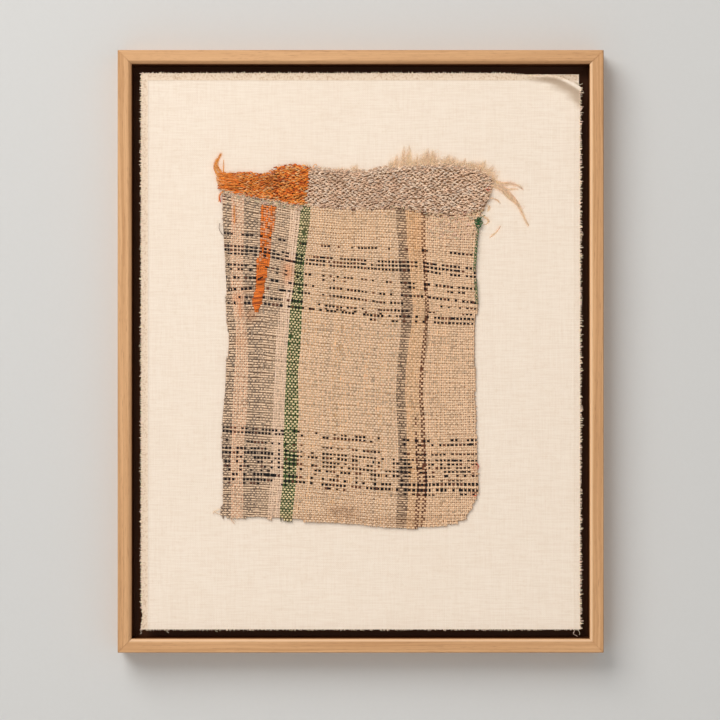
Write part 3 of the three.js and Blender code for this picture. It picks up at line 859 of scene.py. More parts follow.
# Where some warps run: the warp's number, then its column in the chart at each of some lines.
GUIDE_LINES = (190, 219, 241, 263, 285, 307, 329, 351, 373, 395, 417, 439, 461, 483, 505, 525)
WARP_GUIDES = (
    (0, 221.2, 221.5, 222.6, 224.3, 225, 226, 227.8, 227.5,
     226.3, 225, 223.4, 222.5, 222, 221.8, 221.5, 220),
    (5, 231.5, 232, 231.5, 231, 231, 233.3, 236.3, 236.5,
     235.3, 234, 233, 232.6, 231, 231, 232, 231),
    (12, 245, 244.7, 244.5, 243.5, 243.5, 245.3, 247.8, 248.4,
     249, 248.3, 247.6, 245, 244.4, 244, 244, 243.5),
    (35, 303, 300.5, 298, 295.7, 294, 290.8, 289.5, 287.6,
     286.8, 285.6, 285, 284.2, 283.9, 283.5, 280.5, 280),
    (42, 312, 310.8, 307.3, 304.7, 304, 302.6, 302, 300.5,
     298.7, 299.3, 299.3, 297.8, 297.5, 296.3, 294, 292),
    (97, 395.5, 397.3, 399.3, 399.7, 401.5, 402.5, 402, 399.8,
     397.8, 397, 398, 399, 399.5, 399.5, 398, 397.5),
    (102, 405, 407.3, 408, 410.3, 412, 413.8, 411.6, 408.6,
     406.5, 405.5, 407.5, 408, 409, 410.3, 408.5, 407),
    (136, 487, 480.4, 478.2, 476.8, 476.8, 477, 475.7, 475.7,
     475.8, 475.8, 477, 476.4, 476.9, 477.6, 478.3, 478),
)
WARPS = 137
CHART_SIDES = (223, 478)  # columns of the first and the last warp, about

# Where some wefts run: the weft's number below the band, then its line in the chart at each column.
WEFT_COLUMNS = (222, 262, 302, 342, 382, 422, 452, 478)
WEFT_GUIDES = (
    (0, 188.5, 198, 204.3, 207.3, 207.2, 210.4, 213.8, 209),
    (16, 231.8, 235.2, 242.8, 246.2, 246.9, 249.6, 252, 254.3),
    (22, 244.5, 247.2, 255.1, 258, 260.4, 261.5, 265.6, 268.2),
    (24, 248, 251, 258.2, 261.9, 264.2, 265.4, 269.6, 272.3),
    (26, 252, 254.3, 262.2, 265.2, 268.3, 269.6, 273.9, 276.2),
    (32, 263, 265, 272.5, 276.3, 280.8, 282.8, 286.3, 288.2),
    (34, 267.8, 269, 276.3, 280.5, 284.5, 287.5, 291.3, 293),
    (38, 275.5, 277.3, 284.4, 288.1, 293, 295.6, 299, 302.3),
    (42, 289, 286.5, 292.3, 296.2, 301.4, 303.5, 306.6, 308),
    (46, 297, 296.3, 301, 306.2, 308.9, 310.5, 312.5, 314),
    (49, 302, 302.2, 307.2, 311.4, 314.9, 316, 317.5, 318.5),
    (99, 426.5, 428.6, 431.3, 434.8, 437.7, 440.5, 440.1, 439.4),
    (101, 430, 432.5, 435, 438.3, 442.4, 444.6, 444.1, 443.4),
    (105, 439, 441.9, 445, 448.7, 451.7, 454.2, 453.4, 453.6),
    (109, 447, 448, 451.5, 454.6, 458.1, 460, 459.8, 459.7),
    (111, 451.4, 452, 455.5, 458.7, 462.5, 463.8, 463.8, 463.8),
    (113, 455.6, 457.3, 460, 463.1, 466.6, 468.2, 467.3, 467.3),
    (115, 460.5, 461, 464, 467.2, 470.7, 472, 471.2, 471),
    (117, 464.9, 465.8, 468.5, 472.2, 475, 476.5, 475.5, 475),
    (121, 473, 474, 476.5, 480.7, 483.6, 484.2, 484.2, 483.9),
    (123, 478.1, 479, 481.5, 485.5, 488.3, 489.5, 489.5, 490),
    (125, 481.8, 483, 485.5, 489.5, 492, 494, 494, 494),
    (140, 516.2, 517.9, 519.6, 521.8, 526, 527.6, 526.8, 526),
)
WEFTS = 141

# The dark wefts, charted. Each has its number and thickness, and how often it shows, from
# 0 for never to 9 for always, along 26 equal lengths of 10 columns.
DARK_WEFTS = (
    (16, 0.85, "71664455114264513221414665"),
    (22, 1.0, "66999877678689768894857878"),
    (24, 1.05, "96898878788887888895988868"),
    (26, 1.0, "48788887876787897795987867"),
    (32, 0.9, "37766656542655745583756376"),
    (34, 0.75, "13312333001513113121215451"),
    (38, 1.0, "47786644441668555297777766"),
    (42, 1.0, "65427674634662567432227653"),
    (46, 1.0, "23828787228867555232325554"),
    (48, 0.8, "00000000003644210000000000"),
    (49, 1.05, "12348876526676557653599998"),
    (51, 0.95, "00000000000000121232389988"),
    (99, 0.9, "83644453135646641073445578"),
    (101, 0.9, "73768664014676663041546785"),
    (105, 0.85, "13766542005635452383245667"),
    (109, 1.1, "84898279358758765594759949"),
    (111, 1.1, "95868789358777674482677849"),
    (113, 0.9, "74157665036655664464646541"),
    (115, 0.9, "45467654046546675482556652"),
    (117, 0.95, "85556664056566472482245675"),
    (119, 0.75, "13234221032322121143343410"),
    (121, 1.25, "68499675068395666398999994"),
    (123, 1.2, "86888566268778676797857899"),
    (125, 0.8, "55652121215331122023434567"),
)
DARK_START = 222
DARK_LENGTH = 10

# The warp stripes: the warp where each ends in the upper part and in the lower part, the line where
# that changes, its colour, the width of its warps, and how often the weft floats over them.
STRIPES = (
    (5.0, 5.0, 320, "grey", 1.0, 0.4),
    (12.0, 12.0, 320, "peach", 0.97, 0),
    (18.0, 20.0, 320, "grey", 0.96, 0.4),
    (30.3, 27.2, 320, "ash", 0.94, 0.4),
    (35.0, 35.0, 320, "cream", 0.97, 0),
    (42.0, 42.0, 320, "green", 1.08, 0),
    (96.6, 96.6, 320, "field", 0.97, 0),
    (102.0, 102.0, 320, "coal", 1.0, 0.4),
    (105.6, 105.4, 426, "rust", 0.97, 0),
    (105.7, 107.2, 426, "brown", 1.0, 0),
    (109.0, 109.0, 320, "rust", 0.97, 0),
    (110.4, 110.6, 320, "brown", 1.0, 0),
    (137.0, 137.0, 320, "tan", 0.97, 0),
)
STRIPE_COLOURS = [row[3] for row in STRIPES]
STRIPE_WIDTHS = np.array([row[4] for row in STRIPES])
STRIPE_FLOATS = np.array([row[5] for row in STRIPES])
STRIPE_TURN = 22  # lines above and below over which that change runs

# Stains and patches: column, line, half width, half height, colour and strength.
PATCHES = (
    (288, 271, 5.5, 12, (236, 160, 108), 0.75),
    (251, 314, 6, 7, (214, 140, 84), 0.4),
    (237.5, 297, 5, 5, (232, 156, 108), 0.6),
    (240, 309, 2.4, 8, (232, 150, 92), 0.6),
    (240, 341, 6, 7, (216, 152, 100), 0.35),
    (248, 290, 8, 3.5, (226, 160, 112), 0.3),
    (348, 511, 14, 8, (150, 100, 62), 0.4),
    (334, 509, 8, 4, (150, 100, 62), 0.3),
    # These two wide patches darken a strip along the kilim's bottom edge.
    (300, 517, 60, 4, (150, 108, 72), 0.3),
    (400, 521, 60, 5, (160, 112, 74), 0.3),
    (416, 233, 9, 30, (222, 160, 100), 0.4),
    (350, 225, 50, 14, (226, 186, 142), 0.3),
    (475, 466, 3, 5, (196, 96, 60), 0.4),
    (474, 494, 3, 3, (176, 78, 50), 0.55),
    (220, 197, 3, 6, (204, 84, 44), 0.5),
    (234, 215, 1.6, 12, (232, 140, 90), 0.6),
    (456, 226, 24, 14, (206, 166, 138), 0.4),
)


def edge_outline():
    """The kilim's outline as a closed polygon of x and z."""
    left = [(x, z) for z, x in LEFT_EDGE]
    right = [(x, z) for z, x in RIGHT_EDGE]
    return np.array([*TOP_EDGE, *right[::-1], *BOTTOM_EDGE[::-1], *left], float)


def inside(outline, x, z):
    """Which places lie in a closed polygon."""
    found = np.zeros(np.shape(x), bool)
    for (x0, z0), (x1, z1) in zip(outline, np.roll(outline, -1, axis=0)):
        if z0 == z1:
            continue
        crosses = (z0 > z) != (z1 > z)
        found ^= crosses & (x < (x1 - x0) * (z - z0) / (z1 - z0) + x0)
    return found


PUCKER = 0.35  # how far the cloth stands off the linen on average


def pucker(x, z):
    """How far the cloth stands off the linen, in soft puckers."""
    wide = np.sin(x / 31 + z / 47 + 0.6)
    fine = np.sin(z / 19 - x / 83) * np.sin(x / 23 + 1.1)
    return PUCKER * (1 + 0.55 * wide + 0.45 * fine)


GROUND_ROWS = 64
GROUND_COLUMNS = 44
GROUND_SPAN = (0.004, 0.985)  # share of the height from the bottom edge that it covers
GROUND_INSET = 0.7
GROUND_THICKNESS = 0.55


def kilim_shade_sheet():
    """Grid of the thin sheet behind the yarns, whose colour is the painted shade in their gaps, a little
    inside the kilim's outline.
    """
    left = np.array(LEFT_EDGE, float)
    right = np.array(RIGHT_EDGE, float)
    top, bottom = np.array(TOP_EDGE, float), np.array(BOTTOM_EDGE, float)
    share_x = np.linspace(0, 1, GROUND_COLUMNS)
    x_high = top[0, 0] + (top[-1, 0] - top[0, 0]) * share_x
    x_low = bottom[0, 0] + (bottom[-1, 0] - bottom[0, 0]) * share_x
    z_high = np.interp(x_high, top[:, 0], top[:, 1])
    z_low = np.interp(x_low, bottom[:, 0], bottom[:, 1])
    grid = np.zeros((GROUND_ROWS, GROUND_COLUMNS, 3))
    for r, share in enumerate(np.linspace(*GROUND_SPAN, GROUND_ROWS)):
        z = z_low + (z_high - z_low) * share
        side_left = z_low[0] + (z_high[0] - z_low[0]) * share
        side_right = z_low[-1] + (z_high[-1] - z_low[-1]) * share
        x_left = np.interp(side_left, left[:, 0], left[:, 1]) + GROUND_INSET
        x_right = np.interp(side_right, right[:, 0], right[:, 1]) - GROUND_INSET
        grid[r, :, 0] = x_left + (x_right - x_left) * share_x
        grid[r, :, 1] = z
    grid[:, :, 2] = KILIM_BACK + pucker(grid[:, :, 0], grid[:, :, 1])
    return grid


def between_guides(numbers, at, number):
    """Value for a yarn's number, from the values of the numbered guides before and after it."""
    numbers = np.array(numbers, float)
    high = np.clip(np.searchsorted(numbers, number), 1, len(numbers) - 1)
    share = (number - numbers[high - 1]) / (numbers[high] - numbers[high - 1])
    low_value = np.take_along_axis(at, (high - 1)[None], axis=0)[0]
    high_value = np.take_along_axis(at, high[None], axis=0)[0]
    return low_value + (high_value - low_value) * share


def warp_column(number, line):
    """Column of the chart where a warp crosses a line."""
    numbers = [guide[0] for guide in WARP_GUIDES]
    at = np.array([np.interp(line, GUIDE_LINES, guide[1:]) for guide in WARP_GUIDES])
    return between_guides(numbers, at, number)


def weft_line(number, column):
    """Line of the chart where a weft crosses a column."""
    numbers = [guide[0] for guide in WEFT_GUIDES]
    at = np.array([np.interp(column, WEFT_COLUMNS, guide[1:]) for guide in WEFT_GUIDES])
    return between_guides(numbers, at, number)


DARKEST = 0.004
BRIGHTEST = 0.93


def safe_colour(colour):
    """Keeps colours below full white, without a change of hue."""
    most = np.maximum(colour.max(axis=-1, keepdims=True), 0.01)
    return np.maximum(colour * np.minimum(1, BRIGHTEST / most), DARKEST)


def slow_noise(chance, rows, columns, reaches, size):
    """Unevenness along each row, in steps of a few reaches, faded from one to the next."""
    total = np.zeros((rows, columns))
    for reach in reaches:
        bumps = chance.randn(rows, columns // reach + 3)
        places = np.arange(columns) / reach
        low = places.astype(int)
        share = smooth(0, 1, places - low)[None, :]
        total += bumps[:, low] * (1 - share) + bumps[:, low + 1] * share
    return total * size


def crossings():
    """Column and line of each crossing, with the small unevenness of hand weaving."""
    chance = np.random.RandomState(11)
    wefts, warps = np.meshgrid(np.arange(WEFTS), np.arange(WARPS), indexing="ij")
    column = np.interp(warps, [0, WARPS - 1], CHART_SIDES).astype(float)
    for _ in range(4):
        line = weft_line(wefts.astype(float), column)
        column = warp_column(warps.astype(float), line)
    column = column + slow_noise(chance, WARPS, WEFTS, (5, 11, 24), 0.15).T
    line = line + slow_noise(chance, WEFTS, WARPS, (4, 9, 21), 0.17)
    return column, line


def stripe_shades():
    wool = settings("wool")
    return {
        "grey": np.array(wool.grey),
        "ash": dye(180, 156, 133),
        "peach": dye(234, 190, 158),
        "cream": dye(250, 216, 188),
        "green": np.array(wool.green),
        "field": np.array(wool.field),
        "coal": dye(134, 110, 90),
        "rust": dye(234, 188, 142),
        "brown": dye(112, 66, 42),
        "tan": dye(242, 201, 163),
    }


def stripe_numbers(line):
    """The number of each crossing's stripe in the table."""
    number = np.arange(WARPS)[None, :] + np.zeros_like(line)
    stripe = np.zeros(line.shape, int)
    for upper, lower, turn, *_ in STRIPES[:-1]:
        limit = upper + (lower - upper) * smooth(turn - STRIPE_TURN, turn + STRIPE_TURN, line)
        stripe += number >= limit
    return stripe


MISSED_SHARE = 0.018  # share of the crossings where the weaver missed a warp


def warps_above(line, chance):
    """Where a warp lies over the weft: plain weave, but the weft often floats over some stripes."""
    loose = STRIPE_FLOATS[stripe_numbers(line)]
    above = (np.arange(WEFTS)[:, None] + np.arange(WARPS)[None, :]) % 2 == 0
    missed = chance.rand(WEFTS, WARPS) < MISSED_SHARE
    floats = chance.rand(WEFTS, WARPS) < loose
    for number, *_ in DARK_WEFTS:
        floats[number] = False
    return (above ^ missed) & ~floats


def patched(colour, column, line, patches):
    """Colour with soft stains laid over it."""
    for middle, height, half_width, half_height, shade, strength in patches:
        far = ((column - middle) / half_width) ** 2 + ((line - height) / half_height) ** 2
        share = (strength * np.exp(-far))[..., None]
        colour = colour * (1 - share) + dye(*shade) * share
    return colour


ORANGE_STRIPE = (  # line of the chart, and the stripe's first and last column there
    (207, 262.3, 274), (222, 262, 273.7), (237, 260.3, 271.3), (255, 258.4, 269.2),
    (265, 257.2, 268), (275, 257.2, 265.6), (290, 255.4, 263.2), (298, 252.7, 262),
    (303, 252.4, 260.8), (306, 254.2, 259), (312, 254.2, 257.2),
)
ORANGE_START = 204  # lines where it starts and ends
ORANGE_END = 312
WOUND_LINE = 271  # lines between which it is wound, not woven
WOUND_END = 309
ORANGE_WEFTS = (246, 268)  # lines between which its wefts turn orange too


def on_orange(column, line):
    """Which places lie on the orange stripe."""
    low = table_value(ORANGE_STRIPE, line, 1)
    high = table_value(ORANGE_STRIPE, line, 2)
    across = (column > low - 0.5) & (column < high + 0.5)
    return across & (line > ORANGE_START) & (line < ORANGE_END)


def below_band(colour, column, line, chance):
    """Darker yarns below the band, so that little of the stripes shows between its stitches: their darkness
    is painted shade in those gaps.
    """
    x = chart_x(column)
    covered = chart_z(line) > table_value(BAND_EDGE, x) + 1.5
    orange = (column < BAND_JOIN)[..., None]
    shade = np.where(orange, dye(176, 84, 34), dye(180, 142, 112))
    shade = shade * (1 + 0.12 * chance.randn(*line.shape, 1))
    return np.where(covered[..., None], shade, colour)


def warp_colours(column, line, chance):
    """Colour of each warp at each crossing, and how wide it is in the sett."""
    shades = stripe_shades()
    stripe = stripe_numbers(line)
    colour = np.array([shades[kind] for kind in STRIPE_COLOURS])[stripe]
    own = 1 + 0.08 * chance.randn(1, WARPS, 1)
    spot = 1 + 0.15 * chance.randn(*line.shape, 1)
    warm = 1 + chance.randn(1, WARPS, 1) * np.array([0.015, 0, -0.03])
    slow = 1 + slow_noise(chance, WARPS, WEFTS, (6, 15), 0.07).T[..., None]
    colour = colour * np.clip(own, 0.75, 1.25) * np.clip(spot, 0.65, 1.35) * warm * slow
    colour = patched(colour, column, line, PATCHES)
    orange = on_orange(column, line)
    shade = np.array(settings("wool").orange) * (1 + 0.2 * chance.randn(*line.shape, 1))
    pale = chance.rand(*line.shape) < 0.1
    shade = np.where(pale[..., None], dye(244, 190, 150), shade)
    deep = chance.rand(*line.shape) < 0.14
    shade = np.where(deep[..., None], dye(132, 76, 42), shade)
    colour = np.where(orange[..., None], shade, colour)
    colour = below_band(colour, column, line, chance)
    return safe_colour(colour), np.where(orange, 1.0, STRIPE_WIDTHS[stripe])


WEFT_GAINS = {  # how the weft's own colour changes where it crosses a stripe
    "grey": (0.88, 0.86, 0.84),
    "ash": (0.94, 0.92, 0.9),
    "green": (0.84, 0.92, 0.74),
    "coal": (0.76, 0.71, 0.66),
    "rust": (0.98, 0.91, 0.82),
    "brown": (0.9, 0.8, 0.7),
    "tan": (1.0, 0.97, 0.93),
}
# The weft is thinner where it crosses these stripes.
WEFT_WEIGHTS = {"grey": 0.8, "ash": 0.84, "green": 0.86, "coal": 0.8}


def weft_colours(column, line, chance):
    """Colour of each weft at each crossing, with the charted dark wefts, and its thickness."""
    wool = settings("wool")
    kinds = np.array(STRIPE_COLOURS)[stripe_numbers(line)]
    colour = np.zeros((*line.shape, 3)) + np.array(wool.weft)
    own = 1 + 0.06 * chance.randn(WEFTS, 1, 1)
    spot = 1 + 0.14 * chance.randn(*line.shape, 1)
    slow = 1 + slow_noise(chance, WEFTS, WARPS, (7, 19), 0.07)[..., None]
    colour = colour * np.clip(own, 0.8, 1.2) * np.clip(spot, 0.65, 1.35) * slow
    for kind, gain in WEFT_GAINS.items():
        colour = np.where((kinds == kind)[..., None], colour * np.array(gain), colour)
    colour = patched(colour, column, line, PATCHES)
    orange = on_orange(column, line)
    dyed = chance.rand(*line.shape) < 0.4 + 0.6 * smooth(*ORANGE_WEFTS, line)
    shade = np.array(wool.orange) * (1.1 + 0.16 * chance.randn(*line.shape, 1))
    pink = dye(238, 172, 128)
    colour = np.where(orange[..., None], np.where(dyed[..., None], shade, pink), colour)
    colour = below_band(colour, column, line, chance)
    weight = np.ones(line.shape)
    for kind, share in WEFT_WEIGHTS.items():
        weight[kinds == kind] = share
    for number, thick, shown in DARK_WEFTS:
        digits = np.array([int(digit) for digit in shown])
        places = (column[number] - DARK_START) / DARK_LENGTH
        places = np.clip(places.astype(int), 0, len(digits) - 1)
        dark = chance.rand(WARPS) < (digits[places] / 9.0) ** 0.8
        dark &= ~(orange[number] & (line[number] > WOUND_LINE))
        shade = np.array(wool.dark) * np.clip(1 + 0.5 * chance.randn(WARPS, 1), 0.3, 2.6)
        brown = chance.rand(WARPS, 1) < 0.14
        shade = np.where(brown, dye(104, 62, 44), shade)
        colour[number] = np.where(dark[:, None], shade, colour[number])
        bold = thick * np.clip(1.28 + 0.2 * chance.randn(WARPS), 0.85, 1.8)
        weight[number] = np.where(dark, bold, 0.9 * weight[number])
    return safe_colour(colour), weight


WEAVE_MIDDLE = 1.15
WARP_SWING = 0.2
WARP_SPACES = (1.0, 2.6)  # least and most room for a warp
WARP_UNDER = 0.8  # its width where it dips under, as a share
WARP_ENDS = (0.7, 0.45)  # its width at its two ends, as a share
WEFT_SWING = 0.4
WEFT_SPACES = (1.7, 2.9)
WEFT_SIDES = 0.88  # width at the sides of a bead, as a share
WEFT_UNDER = 0.7
WEFT_ENDS = 0.6
WEFT_DROP = 0.3  # how far its ends lie below the middle of the weave
OVER_GAIN = 1.0  # brightness of a yarn where it lies on top
UNDER_PAINTED_SHADE = np.array([0.66, 0.54, 0.44])  # and where it dips under, as warm painted shade
BEAD_REACH = 0.45  # half length of a bead, in crossings


def weave_runs(within):
    """First and last place of each unbroken run of three or more."""
    padded = np.concatenate([[False], within, [False]])
    turns = np.flatnonzero(padded[1:] != padded[:-1])
    return [(first, end - 1) for first, end in zip(turns[::2], turns[1::2]) if end - first > 2]


def warp_yarns(x, z, middle, within, above, shade, wide, chance):
    """The warps, one ring at each crossing, bright where they lie on top and with painted shade where they
    dip below.
    """
    wool = settings("wool")
    height = wool.yarn_height * 1000
    space = np.gradient(x, axis=1)
    lift = np.where(above, WARP_SWING, -WARP_SWING)
    gain = np.where(above[..., None], OVER_GAIN, UNDER_PAINTED_SHADE)
    stores = [Strands(5, 31), Strands(5, 32)]
    for i in range(WARPS):
        for first, last in weave_runs(within[:, i]):
            part = slice(first, last + 1)
            path = np.stack([x[part, i], z[part, i], middle[part, i] + lift[part, i]], axis=1)
            start = path[0] + (path[0] - path[1]) * 0.45
            end = path[-1] + (path[-1] - path[-2]) * chance.uniform(0.4, 0.9)
            start[2] = middle[first, i]
            end[2] = middle[last, i]
            path = np.concatenate([[start], path, [end]])
            width = np.clip(space[part, i], *WARP_SPACES) * wide[part, i] * wool.warp_share
            width = width * np.where(above[part, i], 1.0, WARP_UNDER)
            width = np.concatenate([width[:1] * WARP_ENDS[0], width, width[-1:] * WARP_ENDS[1]])
            tall = np.full(len(path), height)
            tall[[0, -1]] *= 0.6
            colour = shade[part, i] * gain[part, i]
            colour = np.concatenate([colour[:1], colour, colour[-1:]])
            stores[0 if i < WARPS // 2 else 1].add(path, width, tall, colour)
    return stores


def weft_yarns(x, z, middle, within, above, shade, weight, chance):
    """The wefts: a round bead over each warp that they cover, and a dip with painted shade under the others.
    """
    wool = settings("wool")
    height = wool.yarn_height * 1000
    pitch = np.abs(np.gradient(z, axis=0))
    stores = [Strands(5, 41), Strands(5, 42), Strands(5, 43)]
    for n in range(WEFTS):
        for first, last in weave_runs(within[n]):
            places = np.arange(first, last + 1)
            rings = np.where(above[n, places], 1, 3)
            crossing = np.repeat(places, rings)
            order = np.arange(len(crossing)) - np.repeat(np.cumsum(rings) - rings, rings)
            bead = np.repeat(rings == 3, rings)
            aside = np.where(bead, (order - 1) * BEAD_REACH, 0.0)
            spot = np.clip(crossing + aside, first, last)
            top = bead & (order == 1)
            lift = np.where(bead, np.where(top, 1.0, 0.6), -1.0) * WEFT_SWING
            path = np.stack(
                [
                    np.interp(spot, places, x[n, places]),
                    np.interp(spot, places, z[n, places]),
                    np.interp(spot, places, middle[n, places]) + lift,
                ],
                axis=1,
            )
            start = path[0] + (path[0] - path[2]) * chance.uniform(0.4, 0.9)
            end = path[-1] + (path[-1] - path[-3]) * chance.uniform(0.4, 0.9)
            start[2] = end[2] = middle[n, first] - WEFT_DROP
            path = np.concatenate([[start], path, [end]])
            width = np.clip(pitch[n, crossing], *WEFT_SPACES) * wool.weft_share * weight[n, crossing]
            width = width * np.where(bead, np.where(top, 1.0, WEFT_SIDES), WEFT_UNDER)
            width = np.concatenate([width[:1] * WEFT_ENDS, width, width[-1:] * WEFT_ENDS])
            tall = np.full(len(path), height)
            tall[[0, -1]] *= 0.7
            # Painted shade: a little on the sides of a bead, more where the weft dips under.
            gain = np.where(bead[:, None], np.where(top, OVER_GAIN, 0.9)[:, None], UNDER_PAINTED_SHADE)
            colour = shade[n, crossing] * gain
            colour = np.concatenate([colour[:1], colour, colour[-1:]])
            stores[min(2, n * 3 // WEFTS)].add(path, width, tall, colour)
    return stores


def weave_yarns():
    """The field's warps and wefts, each pressed over and under the others."""
    column, line = crossings()
    chance = np.random.RandomState(23)
    x, z = chart_x(column), chart_z(line)
    within = inside(edge_outline(), x, z)
    above = warps_above(line, chance)
    middle = KILIM_BACK + pucker(x, z) + WEAVE_MIDDLE
    warp_shade, warp_wide = warp_colours(column, line, chance)
    weft_shade, weft_weight = weft_colours(column, line, chance)
    warps = warp_yarns(x, z, middle, within, above, warp_shade, warp_wide, chance)
    wefts = weft_yarns(x, z, middle, within, above, weft_shade, weft_weight, chance)
    return warps, wefts


# The band
BAND_JOIN = 310.5  # column of the chart where the orange yarns meet the beige ones, at its middle
BAND_FOOT = 156.0  # height from the middle above which the ground of the orange part is rust
BAND_ROWS = 22
BAND_STEP = 2.5  # from one stitch of a row to the next, in columns of the chart
BAND_COLUMNS = (220.8, 494)  # where a row starts and ends
BAND_LONG = (247, 230)  # to the left of these columns the stitches grow longer
BAND_MIDDLE = 1.7
BAND_REACH = {"orange": 4.7, "beige": 3.6}  # length of a stitch, in millimetres
BAND_LOW = {"orange": 0.7, "beige": 0.78}  # brightness of the darkest stitches
BAND_ROOT_SHADE = {"orange": 0.66, "beige": 0.78}  # painted shade: brightness of a stitch's ends, where they dive into the weave
BAND_SHADES = {
    "orange": (
        (242, 130, 44), (250, 158, 70), (214, 102, 32), (236, 122, 40),
        (246, 142, 54), (248, 168, 92), (178, 82, 32), (252, 190, 128),
    ),
    "beige": (
        (236, 202, 172), (222, 184, 154), (244, 216, 190),
        (206, 168, 140), (230, 192, 162), (222, 196, 174),
    ),
}
BAND_PATCHES = {  # for each part: column, line, half width, half height, colour and strength
    "orange": (
        (276, 181, 15, 9, (150, 76, 38), 0.5),
        (236, 180, 12, 6, (236, 124, 48), 0.3),
        (228, 174, 8, 14, (246, 140, 52), 0.4),
    ),
    "beige": (
        (452, 199, 6, 5, (238, 214, 190), 0.6),
        (335, 176, 14, 7, (168, 130, 102), 0.3),
        (385, 198, 22, 6, (176, 140, 112), 0.25),
        (430, 178, 16, 8, (232, 200, 170), 0.3),
        (470, 176, 12, 7, (226, 182, 146), 0.4),
    ),
}


def band_edges(columns):
    """Upper and lower edge of the band at some columns, in millimetres."""
    x = chart_x(columns)
    return table_value(TOP_EDGE, x), table_value(BAND_EDGE, x)


def band_shade(side, column, line, chance):
    """Colour of one stitch of the band."""
    kinds = BAND_SHADES[side]
    shade = dye(*kinds[chance.randint(len(kinds))]) * chance.uniform(BAND_LOW[side], 1.16)
    return safe_colour(patched(shade, column, line, BAND_PATCHES[side]))


def band_yarns():
    """The band: rows of short arched stitches, which lean and bend this way and that."""
    chance = np.random.RandomState(57)
    store = Strands(5, 61)
    right_z, right_x = np.array(RIGHT_EDGE, float).T
    share = np.linspace(-0.5, 0.5, 5)
    arch = 1 - (2 * share) ** 2
    for row in range(BAND_ROWS):
        part = (row + 0.5) / BAND_ROWS
        join = BAND_JOIN + 2.6 - 5.2 * part + chance.uniform(-1.2, 1.2)
        column = BAND_COLUMNS[0] + chance.uniform(0, BAND_STEP)
        number = row
        while column < BAND_COLUMNS[1]:
            number += 1
            x = float(chart_x(column))
            top, low = (float(edge) for edge in band_edges(column))
            space = (top - low) / BAND_ROWS
            long = 1 + 0.9 * float(smooth(*BAND_LONG, column))
            z = top - (top - low) * part + 0.22 * space * chance.randn()
            column += BAND_STEP * long * chance.uniform(0.75, 1.25)
            if x > np.interp(z, right_z, right_x) - 1.2:
                continue
            side = "orange" if column < join else "beige"
            reach = BAND_REACH[side] * long * chance.uniform(0.8, 1.25)
            way = 1 if row % 2 else -1
            way = way if chance.rand() < 0.8 else -way
            lean = way * chance.uniform(0.05, 0.4) / long
            bow = (1.0 if number % 2 else -1.0) * chance.uniform(0.3, 1.1) / long
            path = np.stack(
                [
                    x + reach * share * math.cos(lean),
                    z + reach * share * math.sin(lean) + bow * arch,
                    np.zeros(len(share)),
                ],
                axis=1,
            )
            rise = BAND_MIDDLE + chance.uniform(-0.25, 0.25) + 0.75 * arch - 0.45
            path[:, 2] = KILIM_BACK + pucker(path[:, 0], path[:, 1]) + rise
            line = MIDDLE_LINE - z / PIXEL
            shade = band_shade(side, column, line, chance)
            wide = float(np.clip(0.92 * space, 1.2, 1.9)) * chance.uniform(0.75, 1.2)
            taper = 0.6 + 0.4 * arch
            # Painted shade at the stitch's ends, and a faint painted highlight on its crown.
            root = BAND_ROOT_SHADE[side]
            shade = shade * (root + (1.06 - root) * arch)[:, None]
            store.add(path, wide * taper, 1.2 * taper, shade)
    return store


# Where loops stand along the band's lower edge: first and last column, least and most lines below
# the edge, how many, their size and their colours.
LOOP_ZONES = (
    (222, 303, -1.0, 4.5, 190, 1.25, ("cream", "grey", "peach", "cream", "light")),
    (303, 425, -1.5, 1.2, 110, 1.0, ("light", "peach", "brown")),
    (425, 482, -1.5, 3.0, 90, 1.2, ("light", "peach", "brown")),
    (428, 479, 3.0, 26.0, 150, 1.25, ("peach", "light", "cream")),
)


def knot_loops(store):
    """The loops and knots along the band's lower edge."""
    chance = np.random.RandomState(63)
    for first, last, near, far, count, size, kinds in LOOP_ZONES:
        for _ in range(count):
            column = chance.uniform(first, last)
            x = float(chart_x(column))
            z = float(band_edges(column)[1]) - chance.uniform(near, far) * PIXEL
            start = chance.uniform(0, 2 * math.pi)
            spin = start + np.linspace(0, chance.uniform(2.4, 4.4), 6)
            radius = size * chance.uniform(0.6, 1.2)
            rise = 1.5 if far > 20 else 1.9
            depth = KILIM_BACK + float(pucker(x, z)) + rise + 0.35 * np.cos(spin - start)
            path_x = x + radius * 1.25 * np.cos(spin)
            path_z = z + radius * 0.7 * np.sin(spin)
            path = np.stack([path_x, path_z, depth], axis=1)
            shade = mottled(yarn_shade(kinds[chance.randint(len(kinds))], chance), chance, 0.12)
            width = 0.95 * chance.uniform(0.8, 1.2)
            store.add(path, width, 0.8, shade * np.linspace(0.75, 1.05, 6)[:, None])


BAND_HAIRS = 1100
HAIR_COLUMNS = (222, 490)


def band_hairs():
    """Short fibres that stand off the band and make it look hairy."""
    chance = np.random.RandomState(67)
    store = Strands(3, 68)
    tuft = settings("tuft")
    for _ in range(BAND_HAIRS):
        column = chance.uniform(*HAIR_COLUMNS)
        top, low = band_edges(column)
        z = float(low + (top - low) * chance.uniform(-0.02, 1.03))
        x = float(chart_x(column))
        shade = tuft.orange if column < BAND_JOIN else tuft.peach
        reach = chance.uniform(1.2, 3.2)
        angle = chance.uniform(-0.7, 0.7) + (math.pi if chance.rand() < 0.5 else 0)
        depth = KILIM_BACK + BAND_MIDDLE + 1.0 + 0.4 * chance.rand()
        root = (x, z, depth)
        rise = chance.uniform(-0.3, 0.6)
        tip = (x + reach * math.cos(angle), z + reach * math.sin(angle), depth + rise)
        fibre(store, root, tip, chance, 0.25, 0.24, mottled(shade, chance, 0.2), 5)
    return store


